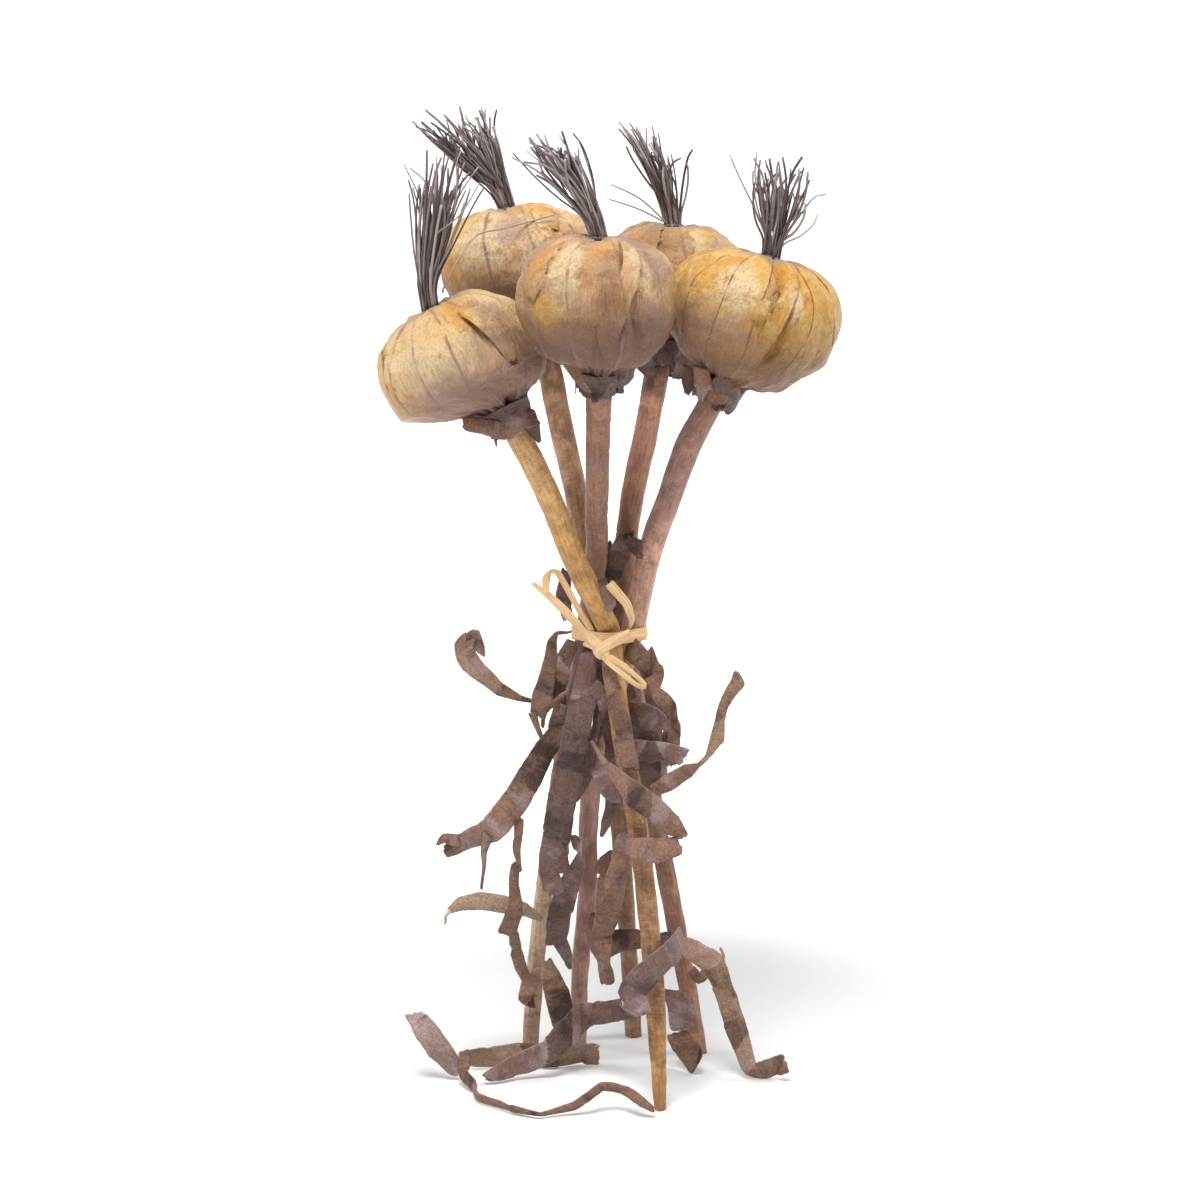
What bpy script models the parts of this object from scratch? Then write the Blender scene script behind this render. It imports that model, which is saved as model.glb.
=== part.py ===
"""A bundle of dried garlic: five heads with their roots up, on long dry stalks.

The stalks cross at a raffia tie and stand on their splayed cut ends, and the
dead leaves hang from them in long crinkled ribbons. Metres, +Z up, the
viewer looks along +Y. Every head, root tuft, stalk, leaf and raffia piece is
its own closed solid, 0.3 mm or more clear of the next one.
"""
import math
import random

import bmesh
import bpy
from mathutils import Matrix, Vector

# Place of the bundle in its own frame: moves everything so that the box's
# bottom centre is the origin
BUNDLE_SHIFT = Vector((0.0001, -0.0037, 0.0))

# Heads
HEAD_SIDES = 24
BODY_RINGS = 10
BODY_SWEEP = math.radians(152)
BODY_SQUARENESS = 0.86
ROOT_DIP = 0.003
ROOT_DIP_SPREAD = 0.009
FUNNEL_LENGTH = 0.013
NECK_BEND = 0.4
SOCKET_DEPTH = 0.010
SOCKET_RADIUS = 0.0060
HEM_RADIUS = 0.0072
HEM_WALL = 0.0007
LOBE_DEPTH = 0.045
FLAP_REACH = 0.0065
FLAP_SPREAD = 0.45
FLAPS_A_HEAD = 3

# Stalks
STALK_TOP_RADIUS = 0.0050
STALK_STEP = 0.016
FLOOR_CUT = 0.004
SOCKET_CLEARANCE = 0.0006

# Root fibres
ROOT_CORE_LENGTH = 0.016
ROOT_CORE_RADIUS = 0.0036
ROOT_LIFT = 0.0021
FIBRE_RADIUS = 0.0006
FIBRE_JOINTS = 6

# Leaves
LEAF_THICKNESS = 0.0006
LEAF_STEP = 0.0065
LEAF_WAVE = 0.0007
LEAF_WAVE_PITCH = 0.021
LEAF_CAMBER = 0.0009
NARROW_LEAF = 0.0045
VIEW_SIDE = Vector((0.0, -1.0, 0.0))

# Raffia tie
TIE_HEIGHT = 0.187
TIE_WIDTH = 0.0055
TIE_THICKNESS = 0.0007
TIE_CLEARANCE = 0.0017
TIE_SIDES = 30
KNOT_CENTRE = (-0.0035, -0.0200, 0.1845)
KNOT_SIZE = (0.0050, 0.0022, 0.0042)

# Colours read from the dry skins, bark and leaves
CREAM_SKIN = (0.66, 0.49, 0.27)
GOLD_SKIN = (0.62, 0.40, 0.15)
OLIVE_SKIN = (0.52, 0.38, 0.18)
STRAW_BARK = (0.56, 0.36, 0.15)
MAUVE_BARK = (0.30, 0.17, 0.12)
ROOT_GREY = (0.13, 0.10, 0.09)
BROWN_LEAF = (0.16, 0.10, 0.075)
MAUVE_LEAF = (0.17, 0.11, 0.11)
TAN_LEAF = (0.30, 0.20, 0.11)
RAFFIA = (0.72, 0.50, 0.27)

# name, centre of the body, way from stalk to roots, end of the neck, radius, half height, colour
HEADS = (
    ("bulb_1", (-0.060, -0.012, 0.298), (-0.46, 0.00, 0.89), (-0.0370, -0.0150, 0.271),
     0.0322, 0.0245, CREAM_SKIN),
    ("bulb_2", (-0.038, 0.037, 0.334), (-0.16, 0.08, 0.98), (-0.0260, 0.0320, 0.299),
     0.0315, 0.0240, OLIVE_SKIN),
    ("bulb_3", (-0.0045, -0.038, 0.3255), (0.02, 0.00, 1.00), (-0.0040, -0.0350, 0.289),
     0.0312, 0.0240, GOLD_SKIN),
    ("bulb_4", (0.026, 0.047, 0.3265), (0.04, 0.05, 1.00), (0.0200, 0.0410, 0.290),
     0.0305, 0.0240, OLIVE_SKIN),
    ("bulb_5", (0.0570, -0.013, 0.3165), (0.28, 0.00, 0.96), (0.0405, -0.0130, 0.282),
     0.0335, 0.0250, GOLD_SKIN),
)

# Route of each stalk below its head, with its radius at each point
STALKS = {
    "stem_1": (
        STRAW_BARK,
        ((-0.0235, -0.0185, 0.244), (-0.0140, -0.0190, 0.220), (-0.0040, -0.0150, 0.199),
         (0.0005, -0.0105, 0.187), (0.0030, -0.0140, 0.164), (0.0080, -0.0210, 0.133),
         (0.0130, -0.0270, 0.102), (0.0165, -0.0350, 0.070), (0.0190, -0.0410, 0.037),
         (0.0205, -0.0460, 0.000)),
        (0.0048, 0.0047, 0.0045, 0.0044, 0.0043, 0.0042, 0.0042, 0.0041, 0.0040, 0.0022)),
    "stem_2": (
        STRAW_BARK,
        ((-0.0200, 0.0270, 0.270), (-0.0135, 0.0200, 0.241), (-0.0100, 0.0150, 0.220),
         (-0.0045, 0.0090, 0.187), (-0.0010, 0.0150, 0.160), (0.0030, 0.0240, 0.120),
         (0.0075, 0.0360, 0.060), (0.0110, 0.0470, 0.000)),
        (0.0050, 0.0047, 0.0045, 0.0044, 0.0042, 0.0040, 0.0038, 0.0036)),
    "stem_3": (
        MAUVE_BARK,
        ((-0.0045, -0.0250, 0.262), (-0.0050, -0.0140, 0.238), (-0.0050, -0.0060, 0.219),
         (-0.0090, -0.0010, 0.187), (-0.0135, 0.0020, 0.160), (-0.0190, 0.0040, 0.130),
         (-0.0265, 0.0110, 0.078), (-0.0310, 0.0180, 0.036), (-0.0335, 0.0235, 0.000)),
        (0.0047, 0.0046, 0.0046, 0.0044, 0.0042, 0.0040, 0.0038, 0.0036, 0.0035)),
    "stem_4": (
        MAUVE_BARK,
        ((0.0150, 0.0310, 0.263), (0.0100, 0.0220, 0.241), (0.0070, 0.0160, 0.218),
         (0.0055, 0.0090, 0.187), (0.0120, 0.0120, 0.150), (0.0195, 0.0160, 0.105),
         (0.0270, 0.0200, 0.065), (0.0330, 0.0230, 0.032), (0.0385, 0.0250, 0.000)),
        (0.0049, 0.0047, 0.0045, 0.0044, 0.0042, 0.0041, 0.0040, 0.0038, 0.0036)),
    "stem_5": (
        MAUVE_BARK,
        ((0.0310, -0.0100, 0.263), (0.0235, -0.0060, 0.241), (0.0165, -0.0035, 0.220),
         (0.0095, -0.0015, 0.187), (0.0020, 0.0020, 0.160), (-0.0060, 0.0080, 0.133),
         (-0.0085, 0.0170, 0.100), (-0.0090, 0.0240, 0.070), (-0.0120, 0.0310, 0.035),
         (-0.0130, 0.0340, 0.000)),
        (0.0052, 0.0050, 0.0048, 0.0045, 0.0043, 0.0041, 0.0040, 0.0039, 0.0037, 0.0035)),
}

# Root tufts: for each group of fibres, their way, number, length and spread
TUFTS = (
    ("roots_1", (((0.10, -0.10, 1.0), 8, 0.068, 0.10), ((-0.14, 0.05, 1.0), 3, 0.056, 0.16))),
    ("roots_2", (((-0.70, 0.00, 0.74), 6, 0.046, 0.12), ((-0.33, 0.10, 0.95), 5, 0.034, 0.12))),
    ("roots_3", (((-0.60, 0.00, 0.80), 6, 0.041, 0.12), ((-0.40, -0.10, 0.90), 5, 0.037, 0.10))),
    ("roots_4", (((-0.38, 0.05, 0.92), 7, 0.036, 0.12), ((-0.10, -0.05, 1.0), 4, 0.025, 0.35))),
    ("roots_5", (((0.00, 0.00, 1.0), 7, 0.036, 0.28), ((0.20, 0.10, 1.0), 4, 0.032, 0.42))),
)

# name, colour, route, width at each point of the route
LEAVES = (
    ("leaf_main", MAUVE_LEAF,
     ((-0.0085, -0.0080, 0.180), (-0.0100, -0.0125, 0.162), (-0.0145, -0.0150, 0.141),
      (-0.0190, -0.0170, 0.121), (-0.0215, -0.0180, 0.104), (-0.0240, -0.0170, 0.092),
      (-0.0220, -0.0150, 0.081)),
     (0.006, 0.011, 0.012, 0.012, 0.012, 0.010, 0.007)),
    ("leaf_far_left", TAN_LEAF,
     ((-0.0210, -0.0030, 0.150), (-0.0300, -0.0060, 0.158), (-0.0440, -0.0150, 0.169),
      (-0.0555, -0.0190, 0.176), (-0.0590, -0.0220, 0.182), (-0.0560, -0.0190, 0.188),
      (-0.0500, -0.0150, 0.187), (-0.0490, -0.0120, 0.181)),
     (0.003, 0.003, 0.006, 0.009, 0.009, 0.008, 0.008, 0.006)),
    ("leaf_lance", BROWN_LEAF,
     ((-0.0240, -0.0100, 0.149), (-0.0285, -0.0130, 0.157), (-0.0265, -0.0140, 0.168),
      (-0.0235, -0.0140, 0.178), (-0.0210, -0.0120, 0.186), (-0.0170, -0.0080, 0.188)),
     (0.006, 0.009, 0.009, 0.007, 0.003, 0.002)),
    ("leaf_folded", TAN_LEAF,
     ((-0.0170, -0.0040, 0.181), (-0.0200, -0.0075, 0.172), (-0.0210, -0.0085, 0.162),
      (-0.0200, -0.0065, 0.154)),
     (0.005, 0.007, 0.007, 0.006)),
    ("leaf_forked", BROWN_LEAF,
     ((-0.0215, -0.0075, 0.144), (-0.0325, -0.0180, 0.130), (-0.0415, -0.0250, 0.115),
      (-0.0540, -0.0270, 0.107), (-0.0650, -0.0280, 0.103)),
     (0.009, 0.012, 0.013, 0.011, 0.005)),
    ("leaf_branch", BROWN_LEAF,
     ((-0.0375, -0.0190, 0.106), (-0.0385, -0.0220, 0.094), (-0.0405, -0.0210, 0.077),
      (-0.0415, -0.0190, 0.063)),
     (0.005, 0.006, 0.009, 0.009)),
    ("leaf_hook", BROWN_LEAF,
     ((-0.0405, -0.0120, 0.060), (-0.0390, -0.0020, 0.050), (-0.0370, 0.0110, 0.045)),
     (0.006, 0.006, 0.004)),
    ("leaf_tan_left", TAN_LEAF,
     ((-0.0665, 0.0030, 0.069), (-0.0555, 0.0040, 0.072), (-0.0430, 0.0030, 0.071),
      (-0.0320, 0.0050, 0.067)),
     (0.004, 0.009, 0.009, 0.004)),
    ("leaf_wave_right", TAN_LEAF,
     ((0.0160, -0.0100, 0.122), (0.0230, -0.0120, 0.127), (0.0330, -0.0160, 0.134),
      (0.0365, -0.0180, 0.143), (0.0415, -0.0200, 0.154), (0.0455, -0.0210, 0.163),
      (0.0505, -0.0220, 0.175)),
     (0.007, 0.010, 0.005, 0.008, 0.006, 0.005, 0.006)),
    ("leaf_square", MAUVE_LEAF,
     ((0.0140, -0.0125, 0.138), (0.0210, -0.0160, 0.139), (0.0300, -0.0190, 0.140)),
     (0.008, 0.009, 0.008)),
    ("leaf_scrunched", BROWN_LEAF,
     ((0.0150, -0.0060, 0.179), (0.0180, -0.0080, 0.173), (0.0190, -0.0100, 0.165),
      (0.0235, -0.0120, 0.158), (0.0250, -0.0110, 0.149), (0.0240, -0.0080, 0.142)),
     (0.008, 0.009, 0.006, 0.008, 0.007, 0.006)),
    ("leaf_purple_tip", MAUVE_LEAF,
     ((0.0100, -0.0110, 0.149), (0.0140, -0.0140, 0.153), (0.0195, -0.0170, 0.158)),
     (0.007, 0.010, 0.006)),
    ("leaf_stalk_strip", BROWN_LEAF,
     ((-0.0005, -0.0176, 0.176), (0.0010, -0.0200, 0.167), (0.0045, -0.0235, 0.153),
      (0.0075, -0.0275, 0.136)),
     (0.005, 0.007, 0.008, 0.006)),
    ("leaf_diagonal", BROWN_LEAF,
     ((-0.0085, -0.0190, 0.152), (-0.0045, -0.0270, 0.142), (0.0030, -0.0330, 0.130),
      (0.0140, -0.0360, 0.122), (0.0240, -0.0350, 0.116), (0.0310, -0.0310, 0.111)),
     (0.004, 0.006, 0.011, 0.013, 0.010, 0.003)),
    ("leaf_fold_band", BROWN_LEAF,
     ((0.0060, -0.0345, 0.104), (0.0160, -0.0385, 0.102), (0.0250, -0.0360, 0.103),
      (0.0285, -0.0300, 0.105)),
     (0.008, 0.011, 0.012, 0.010)),
    ("leaf_crumple", MAUVE_LEAF,
     ((-0.0045, -0.0080, 0.133), (-0.0010, -0.0100, 0.125), (0.0025, -0.0080, 0.117)),
     (0.007, 0.008, 0.005)),
    ("leaf_middle", BROWN_LEAF,
     ((0.0040, -0.0140, 0.112), (0.0030, -0.0160, 0.102), (0.0010, -0.0170, 0.087),
      (-0.0020, -0.0160, 0.072), (-0.0035, -0.0150, 0.059), (-0.0005, -0.0140, 0.042)),
     (0.006, 0.009, 0.009, 0.009, 0.007, 0.008)),
    ("leaf_left_middle", MAUVE_LEAF,
     ((-0.0155, -0.0030, 0.103), (-0.0110, 0.0010, 0.094), (-0.0150, -0.0010, 0.084),
      (-0.0195, -0.0030, 0.072), (-0.0225, -0.0010, 0.057), (-0.0180, 0.0040, 0.045)),
     (0.004, 0.007, 0.010, 0.010, 0.010, 0.006)),
    ("leaf_short", BROWN_LEAF,
     ((-0.0030, 0.0130, 0.082), (0.0000, 0.0120, 0.087), (0.0030, 0.0120, 0.092)),
     (0.007, 0.008, 0.005)),
    ("leaf_back_band", BROWN_LEAF,
     ((-0.0030, 0.0240, 0.045), (0.0040, 0.0220, 0.050), (0.0140, 0.0180, 0.052)),
     (0.008, 0.010, 0.008)),
    ("leaf_front_fold", MAUVE_LEAF,
     ((0.0290, -0.0180, 0.064), (0.0250, -0.0380, 0.063), (0.0150, -0.0500, 0.058),
      (0.0090, -0.0530, 0.051), (0.0140, -0.0530, 0.043)),
     (0.007, 0.010, 0.011, 0.011, 0.005)),
    ("leaf_far_right", TAN_LEAF,
     ((0.0330, 0.0060, 0.060), (0.0385, 0.0020, 0.053), (0.0465, -0.0020, 0.048),
      (0.0520, -0.0060, 0.033), (0.0575, -0.0090, 0.014), (0.0620, -0.0100, 0.004),
      (0.0720, -0.0120, 0.007)),
     (0.008, 0.009, 0.009, 0.010, 0.009, 0.006, 0.008)),
    ("leaf_curl", BROWN_LEAF,
     ((0.0350, 0.0120, 0.041), (0.0380, 0.0110, 0.037), (0.0420, 0.0130, 0.040)),
     (0.005, 0.005, 0.004)),
    ("leaf_foot_fold", MAUVE_LEAF,
     ((0.0260, 0.0060, 0.034), (0.0300, 0.0030, 0.026), (0.0310, 0.0050, 0.017)),
     (0.008, 0.012, 0.010)),
    ("leaf_square_end", BROWN_LEAF,
     ((0.0290, 0.0080, 0.014), (0.0330, 0.0020, 0.0085), (0.0370, -0.0050, 0.0042)),
     (0.009, 0.011, 0.011)),
    ("leaf_gold_fold", TAN_LEAF,
     ((-0.0355, 0.0080, 0.030), (-0.0290, 0.0060, 0.039), (-0.0245, 0.0050, 0.034),
      (-0.0220, 0.0070, 0.025), (-0.0190, 0.0100, 0.017)),
     (0.006, 0.010, 0.012, 0.011, 0.009)),
    ("leaf_low_long", MAUVE_LEAF,
     ((0.0140, -0.0280, 0.038), (0.0080, -0.0200, 0.034), (-0.0010, -0.0100, 0.029),
      (-0.0090, -0.0050, 0.027), (-0.0165, -0.0050, 0.019), (-0.0250, -0.0080, 0.012),
      (-0.0350, -0.0120, 0.0075), (-0.0450, -0.0150, 0.0050), (-0.0510, -0.0160, 0.0030)),
     (0.008, 0.009, 0.009, 0.011, 0.011, 0.010, 0.010, 0.007, 0.004)),
    ("leaf_floor", TAN_LEAF,
     ((-0.0590, 0.0010, 0.0052), (-0.0530, 0.0040, 0.0056), (-0.0430, 0.0050, 0.0056),
      (-0.0290, 0.0040, 0.0056), (-0.0140, 0.0060, 0.0056), (-0.0040, 0.0050, 0.0054)),
     (0.009, 0.010, 0.010, 0.010, 0.010, 0.009)),
    ("leaf_pink_left", MAUVE_LEAF,
     ((-0.0810, -0.0080, 0.028), (-0.0755, -0.0100, 0.021), (-0.0695, -0.0120, 0.013),
      (-0.0640, -0.0120, 0.0060), (-0.0610, -0.0110, 0.0035)),
     (0.007, 0.010, 0.010, 0.008, 0.005)),
    ("leaf_front_arc", BROWN_LEAF,
     ((-0.0600, -0.0200, 0.0050), (-0.0555, -0.0340, 0.0030), (-0.0440, -0.0480, 0.0025),
      (-0.0275, -0.0570, 0.0025), (-0.0140, -0.0530, 0.0040), (-0.0020, -0.0480, 0.0105),
      (0.0070, -0.0510, 0.0095), (0.0130, -0.0540, 0.0060), (0.0180, -0.0550, 0.0030)),
     (0.005, 0.004, 0.004, 0.003, 0.004, 0.004, 0.004, 0.004, 0.003)),
    ("leaf_back_middle", BROWN_LEAF,
     ((0.0060, 0.0175, 0.176), (0.0040, 0.0250, 0.155), (0.0080, 0.0310, 0.130),
      (0.0045, 0.0360, 0.105), (0.0050, 0.0400, 0.088)),
     (0.006, 0.010, 0.011, 0.010, 0.005)),
    ("leaf_back_left", MAUVE_LEAF,
     ((-0.0130, 0.0110, 0.172), (-0.0150, 0.0180, 0.152), (-0.0185, 0.0230, 0.130),
      (-0.0165, 0.0250, 0.108)),
     (0.006, 0.010, 0.011, 0.005)),
    ("leaf_back_right", BROWN_LEAF,
     ((0.0130, 0.0200, 0.168), (0.0170, 0.0260, 0.146), (0.0200, 0.0290, 0.122),
      (0.0170, 0.0330, 0.102)),
     (0.006, 0.010, 0.010, 0.005)),
    ("leaf_back_low", TAN_LEAF,
     ((0.0020, 0.0400, 0.078), (-0.0040, 0.0450, 0.062), (0.0000, 0.0480, 0.046)),
     (0.006, 0.010, 0.007)),
    ("leaf_sheath", MAUVE_LEAF,
     ((0.0070, -0.0010, 0.228), (0.0040, -0.0010, 0.218), (0.0010, -0.0005, 0.207)),
     (0.006, 0.009, 0.006)),
    ("leaf_left_peel", MAUVE_LEAF,
     ((-0.0170, -0.0050, 0.213), (-0.0185, -0.0050, 0.203), (-0.0165, -0.0050, 0.193)),
     (0.004, 0.006, 0.005)),
    ("leaf_right_peel", BROWN_LEAF,
     ((-0.0030, -0.0200, 0.212), (-0.0008, -0.0205, 0.206), (0.0015, -0.0195, 0.200)),
     (0.004, 0.005, 0.004)),
)

# Loose raffia pieces of the tie: name, route, width at each point of the route
RAFFIA_PIECES = (
    ("tie_long_end",
     ((-0.0080, -0.0215, 0.188), (-0.0170, -0.0230, 0.199), (-0.0305, -0.0240, 0.211)),
     (0.0030, 0.0032, 0.0026)),
    ("tie_upper_loop",
     ((-0.0080, -0.0165, 0.192), (-0.0145, -0.0180, 0.203), (-0.0195, -0.0200, 0.213),
      (-0.0225, -0.0230, 0.216), (-0.0255, -0.0265, 0.213), (-0.0250, -0.0270, 0.207)),
     (0.0022, 0.0026, 0.0026, 0.0026, 0.0026, 0.0022)),
    ("tie_right_end",
     ((0.0085, -0.0140, 0.1920), (0.0070, -0.0195, 0.201), (0.0000, -0.0245, 0.211)),
     (0.0026, 0.0034, 0.0036)),
    ("tie_lower_loop",
     ((-0.0005, -0.0225, 0.179), (0.0045, -0.0245, 0.175), (0.0110, -0.0235, 0.170),
      (0.0140, -0.0220, 0.168)),
     (0.0044, 0.0048, 0.0046, 0.0030)),
)


def material(name, colour, roughness):
    """A plain finish of one colour."""
    finish = bpy.data.materials.new(name)
    finish.use_nodes = True
    shader = finish.node_tree.nodes["Principled BSDF"]
    shader.inputs["Base Color"].default_value = (*colour, 1.0)
    shader.inputs["Roughness"].default_value = roughness
    shader.inputs["Metallic"].default_value = 0.0
    return finish


def new_object(name, mesh, colour, roughness=0.7):
    """Put a mesh in the bundle as a named piece."""
    piece = bpy.data.objects.new(name, mesh)
    bundle.objects.link(piece)
    mesh.materials.clear()
    mesh.materials.append(material(name + "_finish", colour, roughness))
    mesh.shade_smooth()
    return piece


def mesh_from_bmesh(name, form):
    """Finish a bmesh and shift it to the bundle's frame."""
    bmesh.ops.translate(form, verts=form.verts, vec=BUNDLE_SHIFT)
    mesh = bpy.data.meshes.new(name)
    form.to_mesh(mesh)
    form.free()
    return mesh


def blend(low, high, share):
    """The value a share of the way from low to high."""
    return low + (high - low) * share


def curve_point(points, place):
    """A point on the smooth curve through the points, place in control points."""
    last = len(points) - 1
    start = min(int(place), last - 1)
    t = place - start
    p1, p2 = Vector(points[start]), Vector(points[start + 1])
    p0 = Vector(points[start - 1]) if start > 0 else 2 * p1 - p2
    p3 = Vector(points[start + 2]) if start + 2 <= last else 2 * p2 - p1
    return 0.5 * (2 * p1 + (p2 - p0) * t + (2 * p0 - 5 * p1 + 4 * p2 - p3) * t * t
                  + (3 * p1 - p0 - 3 * p2 + p3) * t * t * t)


def value_at(values, place):
    """A value between two of the values, place in control points."""
    start = min(int(place), len(values) - 2)
    return blend(values[start], values[start + 1], place - start)


def places_along(points, step):
    """Places on the smooth curve, about one step apart."""
    places = [0.0]
    for start in range(len(points) - 1):
        length = (Vector(points[start + 1]) - Vector(points[start])).length
        pieces = max(1, round(length / step))
        places += [start + (k + 1) / pieces for k in range(pieces)]
    return places


def head_ring(place, radius, half_height):
    """Radius and height of a head's ring, from the root dip to the stalk socket."""
    if place <= BODY_RINGS:
        turn = BODY_SWEEP * place / BODY_RINGS
        ring_radius = radius * math.sin(turn) ** BODY_SQUARENESS
        height = half_height * math.copysign(abs(math.cos(turn)) ** BODY_SQUARENESS, math.cos(turn))
        height -= ROOT_DIP * math.exp(-(ring_radius / ROOT_DIP_SPREAD) ** 2)
        return ring_radius, height
    hem = -half_height - FUNNEL_LENGTH
    neck = (
        (0.0105, -half_height - 0.001),
        (HEM_RADIUS + 0.0006, hem + 0.006),
        (HEM_RADIUS, hem),
        (HEM_RADIUS - HEM_WALL, hem),
        (SOCKET_RADIUS, hem + 0.004),
        (SOCKET_RADIUS, hem + SOCKET_DEPTH),
    )
    return neck[place - BODY_RINGS - 1]


def lobes(angle, seed):
    """How far the cloves push the skin out at an angle round the head."""
    draw = random.Random(seed)
    swell = 0.0
    for count, share in ((5, 0.45), (7, 0.35), (3, 0.35), (2, 0.25)):
        swell += share * math.cos(count * angle + draw.uniform(0, math.tau))
    return LOBE_DEPTH * swell


def flap_share(angle, seed):
    """How much of a torn flap of husk stands out at an angle round the neck, 0 to 1."""
    draw = random.Random(seed + 100)
    share = 0.0
    for _ in range(FLAPS_A_HEAD):
        apart = (angle - draw.uniform(0, math.tau) + math.pi) % math.tau - math.pi
        share = max(share, draw.uniform(0.5, 1.0) * (1 - abs(apart) / FLAP_SPREAD))
    return share


def neck_way(head):
    """The way up the stalk where it goes into a head's neck."""
    stalk = head[0].replace("bulb", "stem")
    return (Vector(head[3]) - Vector(STALKS[stalk][1][0])).normalized()


def neck_point(head, height):
    """A point on a head's middle line, which bends from its axis into line with the stalk."""
    centre, way, neck, up = Vector(head[1]), Vector(head[2]).normalized(), head[3], neck_way(head)
    hem = -head[5] - FUNNEL_LENGTH
    socket = hem + SOCKET_DEPTH
    if height <= socket:
        return Vector(neck) + up * (height - hem)
    start = centre - way * head[5] * NECK_BEND
    end = Vector(neck) + up * SOCKET_DEPTH
    share = neck_share(head, height)
    if share == 0.0:
        return centre + way * height
    bend = end + up * (start - end).length * NECK_BEND
    return start * (1 - share) ** 2 + bend * 2 * share * (1 - share) + end * share ** 2


def neck_share(head, height):
    """How far a height is along the bend from the body's axis to the stalk, 0 to 1."""
    start = -head[5] * NECK_BEND
    socket = -head[5] - FUNNEL_LENGTH + SOCKET_DEPTH
    return max(0.0, min(1.0, (start - height) / (start - socket)))


def make_head(head, seed):
    """A flattened head of cloves, narrowing to a torn papery neck round the stalk."""
    name, _, way, _, radius, half_height, colour = head
    rings = BODY_RINGS + 7
    form = bmesh.new()
    bmesh.ops.create_uvsphere(form, u_segments=HEAD_SIDES, v_segments=rings, radius=1.0)
    body_turn = Vector((0, 0, 1)).rotation_difference(Vector(way))
    neck_turn = Vector((0, 0, 1)).rotation_difference(neck_way(head))
    draw = random.Random(seed)
    torn = [draw.uniform(0.0, 0.0045) for _ in range(HEAD_SIDES)]
    for vertex in form.verts:
        place = round(math.acos(max(-1.0, min(1.0, vertex.co.z))) / math.pi * rings)
        angle = math.atan2(vertex.co.y, vertex.co.x) % math.tau
        side = round(angle / math.tau * HEAD_SIDES) % HEAD_SIDES
        if place == rings:
            ring_radius, height = 0.0, -half_height - FUNNEL_LENGTH + SOCKET_DEPTH
        else:
            ring_radius, height = head_ring(place, radius, half_height)
        if place <= BODY_RINGS:
            ring_radius *= 1 + lobes(angle, seed) * (ring_radius / radius) ** 2
        if BODY_RINGS + 3 <= place <= BODY_RINGS + 4:
            flap = flap_share(angle, seed)
            height += torn[side] * (1 - flap)
            ring_radius += FLAP_REACH * flap
        turn = body_turn.slerp(neck_turn, neck_share(head, height))
        outward = turn @ Vector((math.cos(angle), math.sin(angle), 0.0))
        vertex.co = neck_point(head, height) + outward * ring_radius
    bmesh.ops.recalc_face_normals(form, faces=form.faces)
    new_object(name, mesh_from_bmesh(name, form), colour)


def tube_mesh(name, points, radii, sides_level):
    """A closed tube along the points, from a bevelled curve with its caps welded."""
    curve = bpy.data.curves.new(name, "CURVE")
    curve.dimensions = "3D"
    curve.bevel_depth = 1.0
    curve.bevel_resolution = sides_level
    curve.use_fill_caps = True
    spline = curve.splines.new("POLY")
    spline.points.add(len(points) - 1)
    for knot, point, radius in zip(spline.points, points, radii):
        knot.co = (*point, 1.0)
        knot.radius = radius
    guide = bpy.data.objects.new(name, curve)
    bundle.objects.link(guide)
    depsgraph = bpy.context.evaluated_depsgraph_get()
    mesh = bpy.data.meshes.new_from_object(guide.evaluated_get(depsgraph))
    bpy.data.objects.remove(guide)
    form = bmesh.new()
    form.from_mesh(mesh)
    bmesh.ops.remove_doubles(form, verts=form.verts, dist=0.00002)
    bmesh.ops.recalc_face_normals(form, faces=form.faces)
    bpy.data.meshes.remove(mesh)
    return form


def make_stalk(name, head):
    """A stalk from its socket in the head down to its cut end on the floor."""
    colour, route, radii = STALKS[name]
    hem = -head[5] - FUNNEL_LENGTH
    top = neck_point(head, hem + SOCKET_DEPTH - SOCKET_CLEARANCE)
    below_hem = neck_point(head, hem - 0.003)
    route = (tuple(top), tuple(below_hem)) + route
    radii = (STALK_TOP_RADIUS, STALK_TOP_RADIUS) + radii
    foot, before = Vector(route[-1]), Vector(route[-2])
    past_floor = foot + (foot - before).normalized() * FLOOR_CUT
    places = places_along(route, STALK_STEP)
    points = [curve_point(route, place) for place in places] + [past_floor]
    thickness = [value_at(radii, place) for place in places] + [radii[-1] * 0.98]
    form = tube_mesh(name, points, thickness, 2)
    whole = form.verts[:] + form.edges[:] + form.faces[:]
    bmesh.ops.bisect_plane(form, geom=whole, plane_co=(0, 0, 0), plane_no=(0, 0, 1),
                           clear_inner=True)
    bmesh.ops.holes_fill(form, edges=[edge for edge in form.edges if edge.is_boundary])
    bmesh.ops.recalc_face_normals(form, faces=form.faces)
    new_object(name, mesh_from_bmesh(name, form), colour)


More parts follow.
